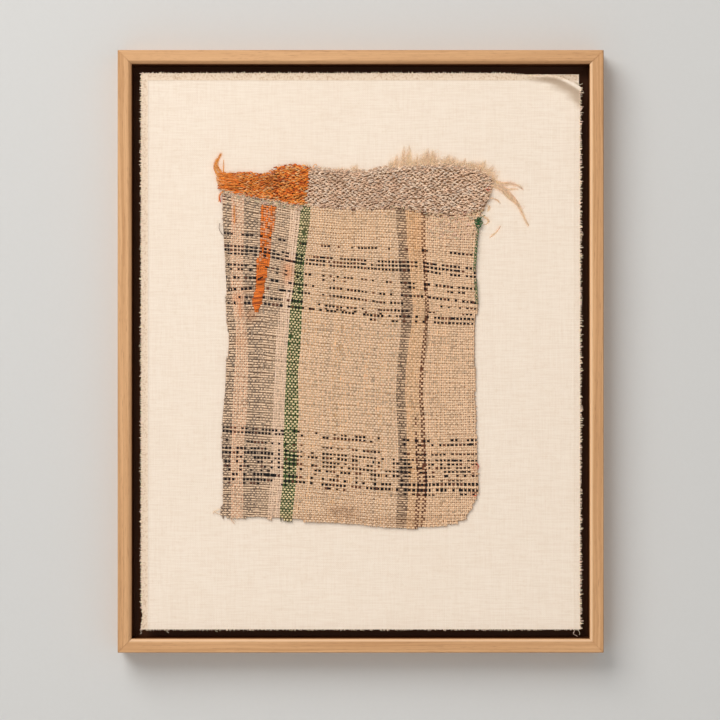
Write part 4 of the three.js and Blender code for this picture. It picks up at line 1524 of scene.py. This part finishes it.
# Loose wool
FUZZ_GROUPS = (  # from, to, fibres, height and lean, in millimetres
    (-140, -112, 40, 2.0, 0.5),
    (-100, -52, 60, 2.2, 0.5),
    (-60, -52, 20, 5.0, -2.0),
    (-50, -12, 50, 1.6, 0.5),
    (-11, -3, 46, 4.6, 1.0),
    (0, 28, 46, 2.2, 0.6),
    (29, 38, 110, 9.5, 4.0),
    (40, 44, 30, 11.0, 3.5),
    (46, 51.5, 46, 19.5, 1.0),
    (52, 63, 130, 8.5, 2.0),
    (62, 78, 380, 14.5, 2.5),
    (78, 84, 70, 7.0, 2.0),
    (84, 97, 190, 8.0, 1.5),
    (96, 117, 260, 5.6, 2.5),
    (112, 138, 420, 7.5, 5.5),
)


def mottled(base, chance, spread=0.16):
    shade = np.array(base) * np.clip(1 + spread * chance.randn(), 0.4, 1.6)
    return safe_colour(shade * (1 + 0.04 * chance.randn(3)))


def fibre(store, root, tip, chance, bend, width, shade, count):
    """One loose fibre from its root to its tip, bent to one side."""
    root, tip = np.asarray(root, float), np.asarray(tip, float)
    ahead = tip - root
    reach = math.hypot(ahead[0], ahead[1])
    side = np.array([-ahead[1], ahead[0], 0.0]) / max(reach, 1e-6)
    sway = reach * bend
    first = root + ahead * 0.35 + side * sway * chance.randn() + [0, 0, 0.1 * reach * chance.rand()]
    second = root + ahead * 0.72 + side * sway * chance.randn()
    path = curve_path([root, first, second, tip], count)
    wide = width * np.linspace(1.0, 0.45, count)
    store.add(path, wide, wide, shade)


FUZZ_SPIKES = (  # foot, tip, height and fibres, in millimetres
    (45, 44.4, 20.5, 40),
    (49.5, 49.8, 21.5, 44),
    (42, 44, 14, 30),
    (34, 38, 13, 40),
    (-7, -4, 7, 24),
    (57, 58, 12, 30),
    (66, 69.5, 17, 44),
    (72, 75, 15.5, 44),
    (88, 91, 10, 34),
    (104, 108, 8, 26),
    (122, 129, 10, 34),
    (130, 137, 9, 30),
)


def top_fuzz():
    """The fuzz of the top edge: many fine fibres, with short woolly ones at their roots that are painted a
    little darker, as shade at the fuzz's base.
    """
    chance = np.random.RandomState(71)
    tuft = settings("tuft")
    width = tuft.hair * 1000
    store = Strands(3, 72)
    for start, end, count, height, lean in FUZZ_GROUPS:
        lumps = chance.uniform(0.55, 1.0, 5)
        for number in range(count):
            x = chance.uniform(start, end)
            lump = np.interp(x, np.linspace(start, end, 5), lumps)
            base = float(table_value(TOP_EDGE, x)) - chance.uniform(0.4, 2.6)
            woolly = number % 3 == 0
            rise = height * lump * chance.uniform(0.35, 1.3) * (0.5 if woolly else 1.0) + 1.4
            tip_x = x + lean * chance.uniform(-0.6, 1.5) * rise / max(height, 1)
            depth = KILIM_BACK + 1.2 + 1.6 * chance.rand()
            shade = mottled(tuft.fuzz, chance, 0.1)
            # Painted shade: the short woolly fibres at the roots are a little darker.
            shade = shade * (0.92 if woolly else 1.0)
            root = (x, base, depth)
            tip = (tip_x, base + rise, depth + chance.uniform(-0.8, 1.2))
            thick = width * chance.uniform(0.6, 1.3) * (1.9 if woolly else 1.0)
            fibre(store, root, tip, chance, 0.2, thick, shade, 6)
    for foot, point, height, count in FUZZ_SPIKES:
        for _ in range(count):
            x = foot + 1.7 * chance.randn()
            base = float(table_value(TOP_EDGE, x)) - chance.uniform(0.2, 1.6)
            rise = height * chance.uniform(0.45, 1.05)
            depth = KILIM_BACK + 1.4 + 1.4 * chance.rand()
            root = (x, base, depth)
            tip = (point + (x - foot) * 0.3, base + rise, depth + chance.uniform(-0.6, 0.8))
            thick = width * chance.uniform(0.8, 1.6)
            fibre(store, root, tip, chance, 0.08, thick, mottled(tuft.fuzz, chance, 0.08), 6)
    return store


CORNER_LOCKS = (  # column and line of each lock's root, middle and tip, fibres and width
    ((222.5, 174.0), (216.3, 163.5), (221.0, 152.5), 46, 2.6),
    ((222.5, 178.0), (214.8, 168.0), (217.0, 157.5), 34, 2.2),
    ((222.0, 181.0), (217.0, 175.0), (214.5, 168.0), 22, 1.8),
    ((222.0, 186.0), (218.0, 182.0), (216.3, 176.5), 16, 1.4),
    ((223.5, 172.5), (223.2, 165.0), (223.5, 158.5), 10, 0.8),
    ((223.0, 190.0), (219.5, 194.0), (218.8, 200.5), 18, 1.2),
)


def corner_tuft():
    chance = np.random.RandomState(81)
    tuft = settings("tuft")
    store = Strands(3, 82)
    for root, middle, tip, count, spread in CORNER_LOCKS:
        for _ in range(count):
            jitter = chance.randn(3, 2) * spread * np.array([[0.45], [0.5], [0.35]])
            points = []
            for (column, line), (dx, dz) in zip((root, middle, tip), jitter):
                depth = KILIM_BACK + 1.3 + 1.2 * chance.rand()
                points.append([float(chart_x(column)) + dx, float(chart_z(line)) + dz, depth])
            shade = mottled(tuft.orange, chance, 0.12)
            if chance.rand() < 0.12:
                shade = mottled(tint(206, 104, 36), chance)
            width = tuft.hair * 1000 * chance.uniform(0.8, 1.7)
            path = curve_path(points, 9)
            store.add(path, width * np.linspace(1, 0.5, 9), width, shade)
    return store


SIDE_YARNS = (  # yarns of the frayed end: chart places along each, its width and its shade
    (
        ((484, 178), (493, 182), (500, 184.5), (506, 188), (511, 194), (517, 201), (521, 208), (529, 224.5)),
        2.1,
        "peach",
    ),
    (((484, 180), (493, 184), (501, 187), (507, 192), (512, 198), (519, 203), (522, 210)), 1.9, "light"),
    (((486, 184), (494, 185), (502, 189), (508, 196), (515, 201), (520, 207)), 1.7, "peach"),
    (((485, 178), (495, 183), (504, 184), (511, 183), (518, 184.5), (523, 188.5)), 1.6, "light"),
    (((485, 176), (495, 180), (503, 182), (510, 181.5), (516, 183)), 1.4, "peach"),
    (((487, 184), (496, 186), (504, 188), (511, 188), (519, 188.5)), 1.2, "light"),
    (((484, 172), (490, 175), (496, 180), (502, 183)), 1.4, "peach"),
    (((484.5, 197.6), (491, 197.2), (497, 198.5), (501.5, 203)), 0.75, "peach"),
    (((501, 224.5), (498.5, 229), (494.5, 233), (490.2, 236.5)), 0.75, "peach"),
    (((485, 184), (487.5, 191), (491, 191.5), (492, 186)), 1.4, "peach"),
    (((487, 204), (490, 206), (488, 210)), 0.8, "peach"),
    (((481, 214), (486, 216.5), (489.5, 220.4), (486, 223.4), (482, 222)), 1.0, "peach"),
)


def yarn_shade(kind, chance):
    tuft = settings("tuft")
    shades = {
        "peach": tuft.peach,
        "light": tint(242, 210, 176),
        "cream": tint(234, 206, 176),
        "green": tuft.green,
        "orange": tuft.orange,
        "red": tint(206, 70, 34),
        "rust": tint(180, 84, 34),
        "linen": tint(255, 230, 202),
        "grey": tint(158, 138, 120),
        "brown": tint(120, 74, 48),
        "dark": settings("wool").dark,
    }
    return mottled(shades[kind], chance, 0.07)


PLIES = 2


def plied(store, places, width, kind, chance, depth, lift=0.0):
    """A plied yarn through places of the chart: two singles that turn round each other."""
    columns, lines = np.array(places, float).T
    height = depth + lift * np.sin(np.linspace(0, math.pi, len(columns)))
    points = chart_path(columns, lines, height)
    run = np.linalg.norm(np.diff(points, axis=0), axis=1).sum()
    count = max(6, int(run / 0.55))
    path = curve_path(points, count)
    side = side_of(path)
    angle = np.linspace(0, run / (width * 2.4) * 2 * math.pi, count) + chance.uniform(0, 6)
    taper = np.ones(count)
    taper[-1], taper[-2] = 0.45, 0.75
    for ply in range(PLIES):
        turn = angle + ply * 2 * math.pi / PLIES
        offset = width * 0.24 * taper
        strand = path + side * (np.cos(turn) * offset)[:, None]
        strand[:, 2] += np.sin(turn) * offset
        shade = yarn_shade(kind, chance)
        tone = 1 + 0.1 * chance.randn(count, 1)
        store.add(strand, width * 0.56 * taper, width * 0.56 * taper, safe_colour(shade * tone))


def stray_fibres(store, places, count, kind, chance, depth, reach):
    """Fine fibres that stand off a yarn."""
    columns, lines = np.array(places, float).T
    share = np.linspace(0, 1, len(columns))
    for _ in range(count):
        at = chance.rand()
        x = float(chart_x(np.interp(at, share, columns)))
        z = float(chart_z(np.interp(at, share, lines)))
        dx, dz = chance.randn(2) * reach
        shade = mottled(yarn_shade(kind, chance), chance)
        root = (x, z, depth + 0.3 * chance.randn())
        tip = (x + dx, z + dz, depth + 0.6 * chance.randn())
        fibre(store, root, tip, chance, 0.3, 0.22, shade, 5)


def along_fibres(store, places, count, kind, chance, depth, spread):
    """Loose fibres that run beside a yarn for part of its length."""
    columns, lines = np.array(places, float).T
    share = np.linspace(0, 1, len(columns))
    for _ in range(count):
        first = chance.uniform(-0.05, 0.7)
        at = np.clip(np.linspace(first, first + chance.uniform(0.2, 0.5), 4), 0, 1)
        x = chart_x(np.interp(at, share, columns)) + chance.randn() * spread + 0.3 * chance.randn(4)
        z = chart_z(np.interp(at, share, lines)) + chance.randn() * spread + 0.3 * chance.randn(4)
        points = np.stack([x, z, depth + 0.4 * chance.randn(4)], axis=1)
        width = 0.26 * chance.uniform(0.7, 1.3)
        store.add(curve_path(points, 8), width, width, mottled(yarn_shade(kind, chance), chance, 0.08))


def side_fringe():
    chance = np.random.RandomState(91)
    store = Strands(4, 92)
    for number, (places, width, kind) in enumerate(SIDE_YARNS):
        depth = KILIM_BACK + 1.0 + 0.35 * (number % 4)
        plied(store, places, 0.5 * width, kind, chance, depth, lift=0.5)
        along_fibres(store, places, int(30 * width), kind, chance, depth, 0.42 * width)
        stray_fibres(store, places, int(8 + 10 * width), kind, chance, depth, 1.5 * width**0.5)
    red = ((486, 188.5), (488.5, 186.2), (490.5, 188), (488.3, 189.8), (486.4, 187.4))
    plied(store, red, 1.2, "red", chance, KILIM_BACK + 2.6)
    return store


GREEN_STITCHES = (  # chained lengths of the edge: first and last line, and the column there
    (229, 269, 477.8, 474.6),
    (280, 290, 475.8, 476.6),
    (294, 301, 476.4, 477.0),
)
GREEN_KNOT = (478.6, 221.6)  # column and line of the knot's middle


def green_overcast():
    """The green thread: a chain of small loops down the edge, and a knot at its top."""
    chance = np.random.RandomState(95)
    store = Strands(5, 96)
    for first, last, column, column_end in GREEN_STITCHES:
        for line in np.arange(first, last, 3.3):
            edge = column + (column_end - column) * (line - first) / (last - first)
            tall, wide = chance.uniform(1.7, 2.5), chance.uniform(0.8, 1.3)
            lean = chance.uniform(-0.5, 0.5)
            spin = np.linspace(0.4, 2 * math.pi + 0.2, 11)
            columns = edge + wide * np.cos(spin) + lean * np.sin(spin)
            lines = line + tall * np.sin(spin)
            depth = KILIM_BACK + 2.3 + 0.45 * np.sin(spin + 0.8)
            shade = yarn_shade("green", chance) * chance.uniform(0.7, 1.25)
            store.add(chart_path(columns, lines, depth), 0.68, 0.8, shade)
    for angle in np.linspace(0, 2 * math.pi, 8, endpoint=False):
        spin = np.linspace(0, 2 * math.pi, 12)
        column = GREEN_KNOT[0] + 2.0 * math.cos(angle)
        line = GREEN_KNOT[1] + 3.6 * math.sin(angle)
        wide, high = chance.uniform(1.0, 2.0), chance.uniform(1.3, 2.4)
        columns = column + wide * np.cos(spin + angle)
        lines = line + high * np.sin(spin + angle)
        depth = KILIM_BACK + 2.4 + 0.7 * np.sin(spin * 2 + angle)
        shade = yarn_shade("green", chance) * chance.uniform(0.6, 1.2)
        store.add(chart_path(columns, lines, depth), 1.1, 1.1, shade)
    tail = ((480.5, 217.5), (483.5, 215), (485.5, 214.4))
    plied(store, tail, 1.0, "green", chance, KILIM_BACK + 2.2)
    return store


LOOSE_THREADS = (  # threads that lie on the wool or stick out of its edge
    (((234.5, 205), (233.8, 212), (234.6, 218), (234, 222)), 0.8, "orange", 2.9),
    (((219.5, 222), (218.8, 227), (220.4, 231), (223, 234.5)), 0.8, "grey", 1.6),
    (((221, 191), (219.4, 196), (220.4, 201.5)), 1.3, "red", 1.8),
    (((425.5, 299), (425, 318), (426.4, 340), (425.6, 358)), 0.6, "brown", 2.4),
    (((428, 306), (427.2, 322), (428, 345)), 0.45, "brown", 2.4),
    (((222, 508), (216, 510), (212.5, 512)), 0.8, "light", 1.2),
    (((222, 514), (217, 513), (213.5, 511), (212.8, 514)), 0.7, "peach", 1.3),
    (((228.5, 516), (231, 519.5), (234.5, 523.5)), 0.9, "light", 1.2),
    (((232.5, 516), (233, 519), (235.4, 521.6)), 0.6, "peach", 1.2),
    (((314, 168.5), (313.2, 165), (315.6, 163), (317, 165)), 0.8, "orange", 2.4),
    (((476.4, 462), (478.8, 465.5), (478, 468.5)), 0.9, "red", 2.0),
    (((474.6, 492), (478, 491.2)), 1.2, "brown", 2.3),
    (((474.2, 495), (477.6, 495.2)), 1.0, "red", 2.2),
    (((471.5, 473.4), (473.5, 472.3), (474.4, 474.6), (472.6, 476), (471.3, 473.6)), 0.8, "brown", 2.4),
    (((289, 450), (300, 451), (303.5, 454)), 0.5, "light", 2.6),
)


def loose_threads():
    chance = np.random.RandomState(101)
    store = Strands(4, 102)
    for places, width, kind, rise in LOOSE_THREADS:
        plied(store, places, width, kind, chance, KILIM_BACK + rise)
    return store


def wound_stripe(store):
    """The foot of the orange stripe, wound round and round with orange yarn."""
    chance = np.random.RandomState(103)
    line = WOUND_LINE
    while line < WOUND_END:
        low = float(table_value(ORANGE_STRIPE, line, 1)) + chance.uniform(-0.5, 0.3)
        high = float(table_value(ORANGE_STRIPE, line, 2)) + chance.uniform(-0.3, 0.5)
        slope = 0.16 * (high - low) * chance.uniform(0.6, 1.5)
        across = np.linspace(0, 1, 7)
        columns = low + (high - low) * across
        lines = line + slope * (0.5 - across) + 0.3 * chance.randn()
        depth = KILIM_BACK + 1.9 + 0.75 * np.sin(math.pi * across) ** 0.6
        path = chart_path(columns, lines, depth)
        shade = np.array(settings("wool").orange) * chance.uniform(0.62, 1.2)
        if chance.rand() < 0.2:
            shade = dye(166, 78, 30)
        store.add(path, 1.7 * chance.uniform(0.85, 1.15), 1.0, safe_colour(shade))
        line += chance.uniform(1.0, 1.5)
    dark = ((257.4, 278.4), (260, 277.4), (263, 275.7))
    plied(store, dark, 1.9, "dark", chance, KILIM_BACK + 3.0)
    red = ((258.4, 291.5), (261.5, 291), (263, 290.4))
    plied(store, red, 1.0, "rust", chance, KILIM_BACK + 2.9)


LINEN_LOOSE = (  # stray threads of the linen's raw edge, in chart places, with their width
    (((141.5, 626), (139.5, 629.5), (140.8, 632.5), (139.6, 633.8)), 0.5),
    (((167, 629), (166.6, 631.5), (168.2, 633)), 0.45),
    (((216, 628.5), (215.4, 630.8), (217, 632)), 0.45),
    (((571.5, 628), (575, 631), (574, 634), (578, 636.5)), 0.55),
    (((576, 627), (579.5, 630.5), (580.2, 635)), 0.5),
    (((577.5, 86), (581.5, 87.5), (584, 90.2)), 0.5),
    (((575, 80), (580, 83), (583.5, 82.2)), 0.5),
)
THREAD_STEP = 1.15  # from one thread of the raw edge to the next
THREAD_HIDDEN = 1.2  # length of a thread that lies on the cloth
THREAD_TAPER = np.array([1.0, 1.0, 0.9, 0.5])


def linen_fray():
    """The raw edges of the linen: short thread ends, longest down the right side."""
    chance = np.random.RandomState(111)
    store = Strands(4, 112)
    depth = LINEN_BACK + LINEN_THICKNESS * 0.6
    z = -LINEN_HEIGHT / 2 + 0.6
    while z < LINEN_HEIGHT / 2 - 0.6:
        for side, reach in ((1, 2.6), (-1, 1.7)):
            x_edge = LINEN_WIDTH / 2 if side > 0 else float(table_value(LEFT_LINEN_EDGE, z))
            x_now, z_now = linen_places(np.array(x_edge), np.array(z)) if side > 0 else (x_edge, z)
            lift = float(linen_lift(np.array(float(x_now)), np.array(float(z_now))))
            long = reach * chance.uniform(0.25, 1.15) * (1.25 if chance.rand() < 0.3 else 0.8)
            start = np.array([float(x_now) - side * THREAD_HIDDEN, float(z_now), depth + lift])
            out = side * (THREAD_HIDDEN + long)
            end = start + [out, 0.5 * chance.randn(), 0.3 + 0.25 * chance.randn()]
            shade = yarn_shade("linen", chance)
            path = curve_path([start, (start + end) / 2 + [0, 0.1 * chance.randn(), 0.1], end], 4)
            width = 1.05 * chance.uniform(0.6, 1.2)
            store.add(path, width * THREAD_TAPER, width * 0.8, shade)
        z += THREAD_STEP * chance.uniform(0.8, 1.25)
    x = -LINEN_WIDTH / 2 + 0.6
    while x < LINEN_WIDTH / 2 - 0.6:
        for side in (1, -1):
            z_edge = np.array(side * LINEN_HEIGHT / 2)
            x_now, z_now = linen_places(np.array(x), z_edge)
            lift = float(linen_lift(x_now, z_now))
            long = 1.7 * chance.uniform(0.05, 1.0)
            start = np.array([float(x_now), float(z_now) - side * THREAD_HIDDEN, depth + lift])
            out = side * (THREAD_HIDDEN + long)
            end = start + [0.35 * chance.randn(), out, 0.2 * chance.randn()]
            shade = yarn_shade("linen", chance)
            width = 0.95 * chance.uniform(0.6, 1.2)
            path = curve_path([start, (start + end) / 2, end], 4)
            store.add(path, width * THREAD_TAPER, width * 0.8, shade)
        x += THREAD_STEP * chance.uniform(0.8, 1.25)
    for places, width in LINEN_LOOSE:
        columns, lines = np.array(places, float).T
        height = np.linspace(depth + 0.4, depth - 0.6, len(columns))
        path = curve_path(chart_path(columns, lines, height), 12, wave=0.3)
        store.add(path, width, width, yarn_shade("linen", chance))
    return store


# Stage, in metres
WALL_FRONT = 0.0007
WALL_TOP = 2.4
WALL_HALF_WIDTH = 4.5
FLOOR_DROP = 1.25
FLOOR_FRONT = -5.0
COVE = 0.35
COVE_POINTS = 17
LIGHTS = (  # name, place from the frame's middle, size, share of the key's power, and colour
    ("key", (-1.7, -2.5, 2.36), 2.6, 1.0, (1.0, 0.985, 0.96)),
    ("fill", (1.9, -2.6, -0.2), 2.4, 0.06, (1.0, 0.98, 0.96)),
    ("back_left", (-1.6, 2.4, 1.2), 2.0, 0.23, (1, 1, 1)),
    ("back_right", (1.8, 2.2, 0.4), 2.0, 0.13, (1, 1, 1)),
)
ROOM_COLOUR = (1.0, 0.975, 0.95, 1.0)
CAMERA_ASIDE = -0.0007
CAMERA_DROP = 0.0089
SENSOR_WIDTH = 36.0  # millimetres


def add_wall(material):
    """One sheet: a wall behind the frame that curves into a pale floor."""
    floor = FRAME_MIDDLE - FLOOR_DROP
    profile = [(WALL_FRONT, WALL_TOP)]
    for angle in np.linspace(0, math.pi / 2, COVE_POINTS):
        y = WALL_FRONT - COVE * (1 - math.cos(angle))
        profile.append((y, floor + COVE * (1 - math.sin(angle))))
    profile.append((FLOOR_FRONT, floor))
    points, quads = [], []
    for x in (-WALL_HALF_WIDTH, WALL_HALF_WIDTH):
        points += [(x, y, z) for y, z in profile]
    count = len(profile)
    for i in range(count - 1):
        quads.append((i, i + 1, count + i + 1, count + i))
    mesh = bpy.data.meshes.new("wall")
    mesh.from_pydata(points, [], quads)
    mesh.polygons.foreach_set("use_smooth", np.ones(len(quads), bool))
    mesh.materials.append(material)
    wall = bpy.data.objects.new("wall", mesh)
    bpy.context.scene.collection.objects.link(wall)
    wall.visible_shadow = False


def soft_light(name, place, size, power, colour):
    """A square light at a place from the frame's middle, which it faces."""
    lamp = bpy.data.lights.new(name, "AREA")
    lamp.shape = "SQUARE"
    lamp.size = size
    lamp.energy = power
    lamp.color = colour
    light = bpy.data.objects.new(name, lamp)
    bpy.context.scene.collection.objects.link(light)
    x, y, z = place
    light.location = (x, y, FRAME_MIDDLE + z)
    light.rotation_euler = (math.atan2(math.hypot(x, y), z), 0.0, math.atan2(-y, -x) - math.pi / 2)


def add_camera(stage):
    lens = bpy.data.cameras.new("camera")
    lens.sensor_width = SENSOR_WIDTH
    lens.lens = SENSOR_WIDTH * stage.distance / stage.width
    lens.clip_end = 20.0
    camera = bpy.data.objects.new("camera", lens)
    bpy.context.scene.collection.objects.link(camera)
    face = CAD_BOX[0].y
    camera.location = (CAMERA_ASIDE, face - stage.distance, FRAME_MIDDLE - CAMERA_DROP)
    camera.rotation_euler = (math.pi / 2, 0.0, 0.0)
    bpy.context.scene.camera = camera


# Operators
class KILIM_OT_oak(bpy.types.Operator):
    """Gives the oak rails their grain and their dark stain inside, and glues their mitres"""

    bl_idname = "kilim.oak"
    bl_label = "Oak frame"

    def execute(self, context):
        level = oak_material("oak, level rails", "x")
        upright = oak_material("oak, upright rails", "z")
        for node, finish in (
            ("rail_top", level),
            ("rail_bottom", level),
            ("rail_left", upright),
            ("rail_right", upright),
        ):
            set_finish(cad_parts[node], finish)
        join_part(mitre_glue(level), "oak")
        return {"FINISHED"}


class KILIM_OT_panel(bpy.types.Operator):
    """Gives the panel its bare plywood"""

    bl_idname = "kilim.panel"
    bl_label = "Plywood panel"

    def execute(self, context):
        set_finish(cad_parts["mount_panel"], ply_material())
        return {"FINISHED"}


class KILIM_OT_linen(bpy.types.Operator):
    """Makes both layers of linen, with the creased margin, lifted corner and frayed edges"""

    bl_idname = "kilim.linen"
    bl_label = "Linen mount"

    def execute(self, context):
        finish = linen_material()
        x, z = linen_grid(UNDER_STEP, UNDER_INSET)
        wave = 0.05 * np.sin(x / 21) * np.sin(z / 27)
        back = np.stack([x, z, np.full(x.shape, UNDER_BACK)], axis=2)
        front = np.stack([x, z, UNDER_BACK + UNDER_THICKNESS + wave], axis=2)
        under = join_part(sheet_piece("under_linen", front, back, finish), "linen", "under_cloth")
        x, z = linen_places(*linen_grid(LINEN_STEP))
        lift = linen_lift(x, z)
        back = np.stack([x, z, LINEN_BACK + lift], axis=2)
        front = np.stack([x, z, LINEN_BACK + LINEN_THICKNESS + lift], axis=2)
        top = sheet_piece("linen_mount", front, back, finish, corner_painted_shade(x, z))
        join_part(top, "linen", "mount_cloth")
        fray = linen_fray().piece("linen_fray", yarn_material("linen thread"))
        join_part(fray, "linen")
        return {"FINISHED"}


class KILIM_OT_weave(bpy.types.Operator):
    """Weaves the kilim: the sheet of painted shade behind it, its warps, wefts and the coarse yarns of the
    band
    """

    bl_idname = "kilim.weave"
    bl_label = "Woven kilim"

    def execute(self, context):
        back = kilim_shade_sheet()
        front = back + [0.0, 0.0, GROUND_THICKNESS]
        ground = sheet_piece("kilim_shade_sheet", front, back, gap_shade_material())
        join_part(ground, "wool", "kilim")
        wool = yarn_material("spun wool")
        warps, wefts = weave_yarns()
        parts = []
        for name, stores in (("warps", warps), ("wefts", wefts)):
            for number, store in enumerate(stores):
                parts.append(store.piece(f"{name}_{number + 1}", wool))
        plied_wool = yarn_material("plied wool")
        band = band_yarns()
        knot_loops(band)
        parts.append(band.piece("band_yarns", plied_wool))
        parts.append(band_hairs().piece("band_hairs", plied_wool))
        loose = loose_threads()
        wound_stripe(loose)
        parts.append(loose.piece("loose_threads", wool))
        for part in parts:
            join_part(part, "wool")
        return {"FINISHED"}


class KILIM_OT_tufts(bpy.types.Operator):
    """Adds the loose wool: the fuzz, the orange corner, the frayed end and the green whipping"""

    bl_idname = "kilim.tufts"
    bl_label = "Loose wool"

    def execute(self, context):
        fuzz = yarn_material("loose fibres", fuzz=0.2)
        for make, name, slot, node, casts_shadow in (
            (top_fuzz, "fuzz_locks", "peach_wool", "top_fuzz", False),
            (corner_tuft, "orange_locks", "orange_wool", "corner_tuft", False),
            (side_fringe, "frayed_yarns", "peach_wool", "side_tuft", False),
            (green_overcast, "green_whipping", "green_wool", "green_edge", True),
        ):
            piece = join_part(make().piece(name, fuzz), slot, node)
            piece.visible_shadow = casts_shadow
        return {"FINISHED"}


class KILIM_OT_stage(bpy.types.Operator):
    """Sets up the wall, the floor, the soft light and the camera"""

    bl_idname = "kilim.stage"
    bl_label = "Stage"

    def execute(self, context):
        stage = settings("stage")
        add_wall(wall_material())
        for name, place, size, share, colour in LIGHTS:
            soft_light(name, place, size, stage.key * share, colour)
        world = bpy.data.worlds.new("room")
        world.use_nodes = True
        shade = world.node_tree.nodes["Background"]
        shade.inputs["Color"].default_value = ROOM_COLOUR
        shade.inputs["Strength"].default_value = stage.fill
        context.scene.world = world
        add_camera(stage)
        context.scene.view_settings.view_transform = "Standard"
        context.scene.view_settings.look = "None"
        return {"FINISHED"}


STEPS = (KILIM_OT_stage, KILIM_OT_oak, KILIM_OT_panel, KILIM_OT_linen, KILIM_OT_weave, KILIM_OT_tufts)
GROUPS = (
    ("kilim_oak", OakSettings),
    ("kilim_linen", LinenSettings),
    ("kilim_wool", WoolSettings),
    ("kilim_tuft", TuftSettings),
    ("kilim_stage", StageSettings),
)


class KILIM_PT_parts(bpy.types.Panel):
    """Lists the settings and the steps of the framed kilim"""

    bl_idname = "KILIM_PT_parts"
    bl_label = "Framed kilim"
    bl_space_type = "VIEW_3D"
    bl_region_type = "UI"
    bl_category = "Kilim"

    def draw(self, context):
        for name, group in GROUPS:
            box = self.layout.box()
            for setting in group.__annotations__:
                box.prop(getattr(context.scene, name), setting)
        for step in STEPS:
            self.layout.operator(step.bl_idname)


def register():
    for name, group in GROUPS:
        bpy.utils.register_class(group)
        setattr(bpy.types.Scene, name, bpy.props.PointerProperty(type=group))
    for cls in (*STEPS, KILIM_PT_parts):
        bpy.utils.register_class(cls)


def unregister():
    for cls in (KILIM_PT_parts, *STEPS[::-1]):
        bpy.utils.unregister_class(cls)
    for name, group in GROUPS[::-1]:
        delattr(bpy.types.Scene, name)
        bpy.utils.unregister_class(group)


def main():
    register()
    bpy.ops.kilim.stage()
    bpy.ops.kilim.oak()
    bpy.ops.kilim.panel()
    bpy.ops.kilim.linen()
    bpy.ops.kilim.weave()
    bpy.ops.kilim.tufts()


if __name__ == "__main__":
    main()
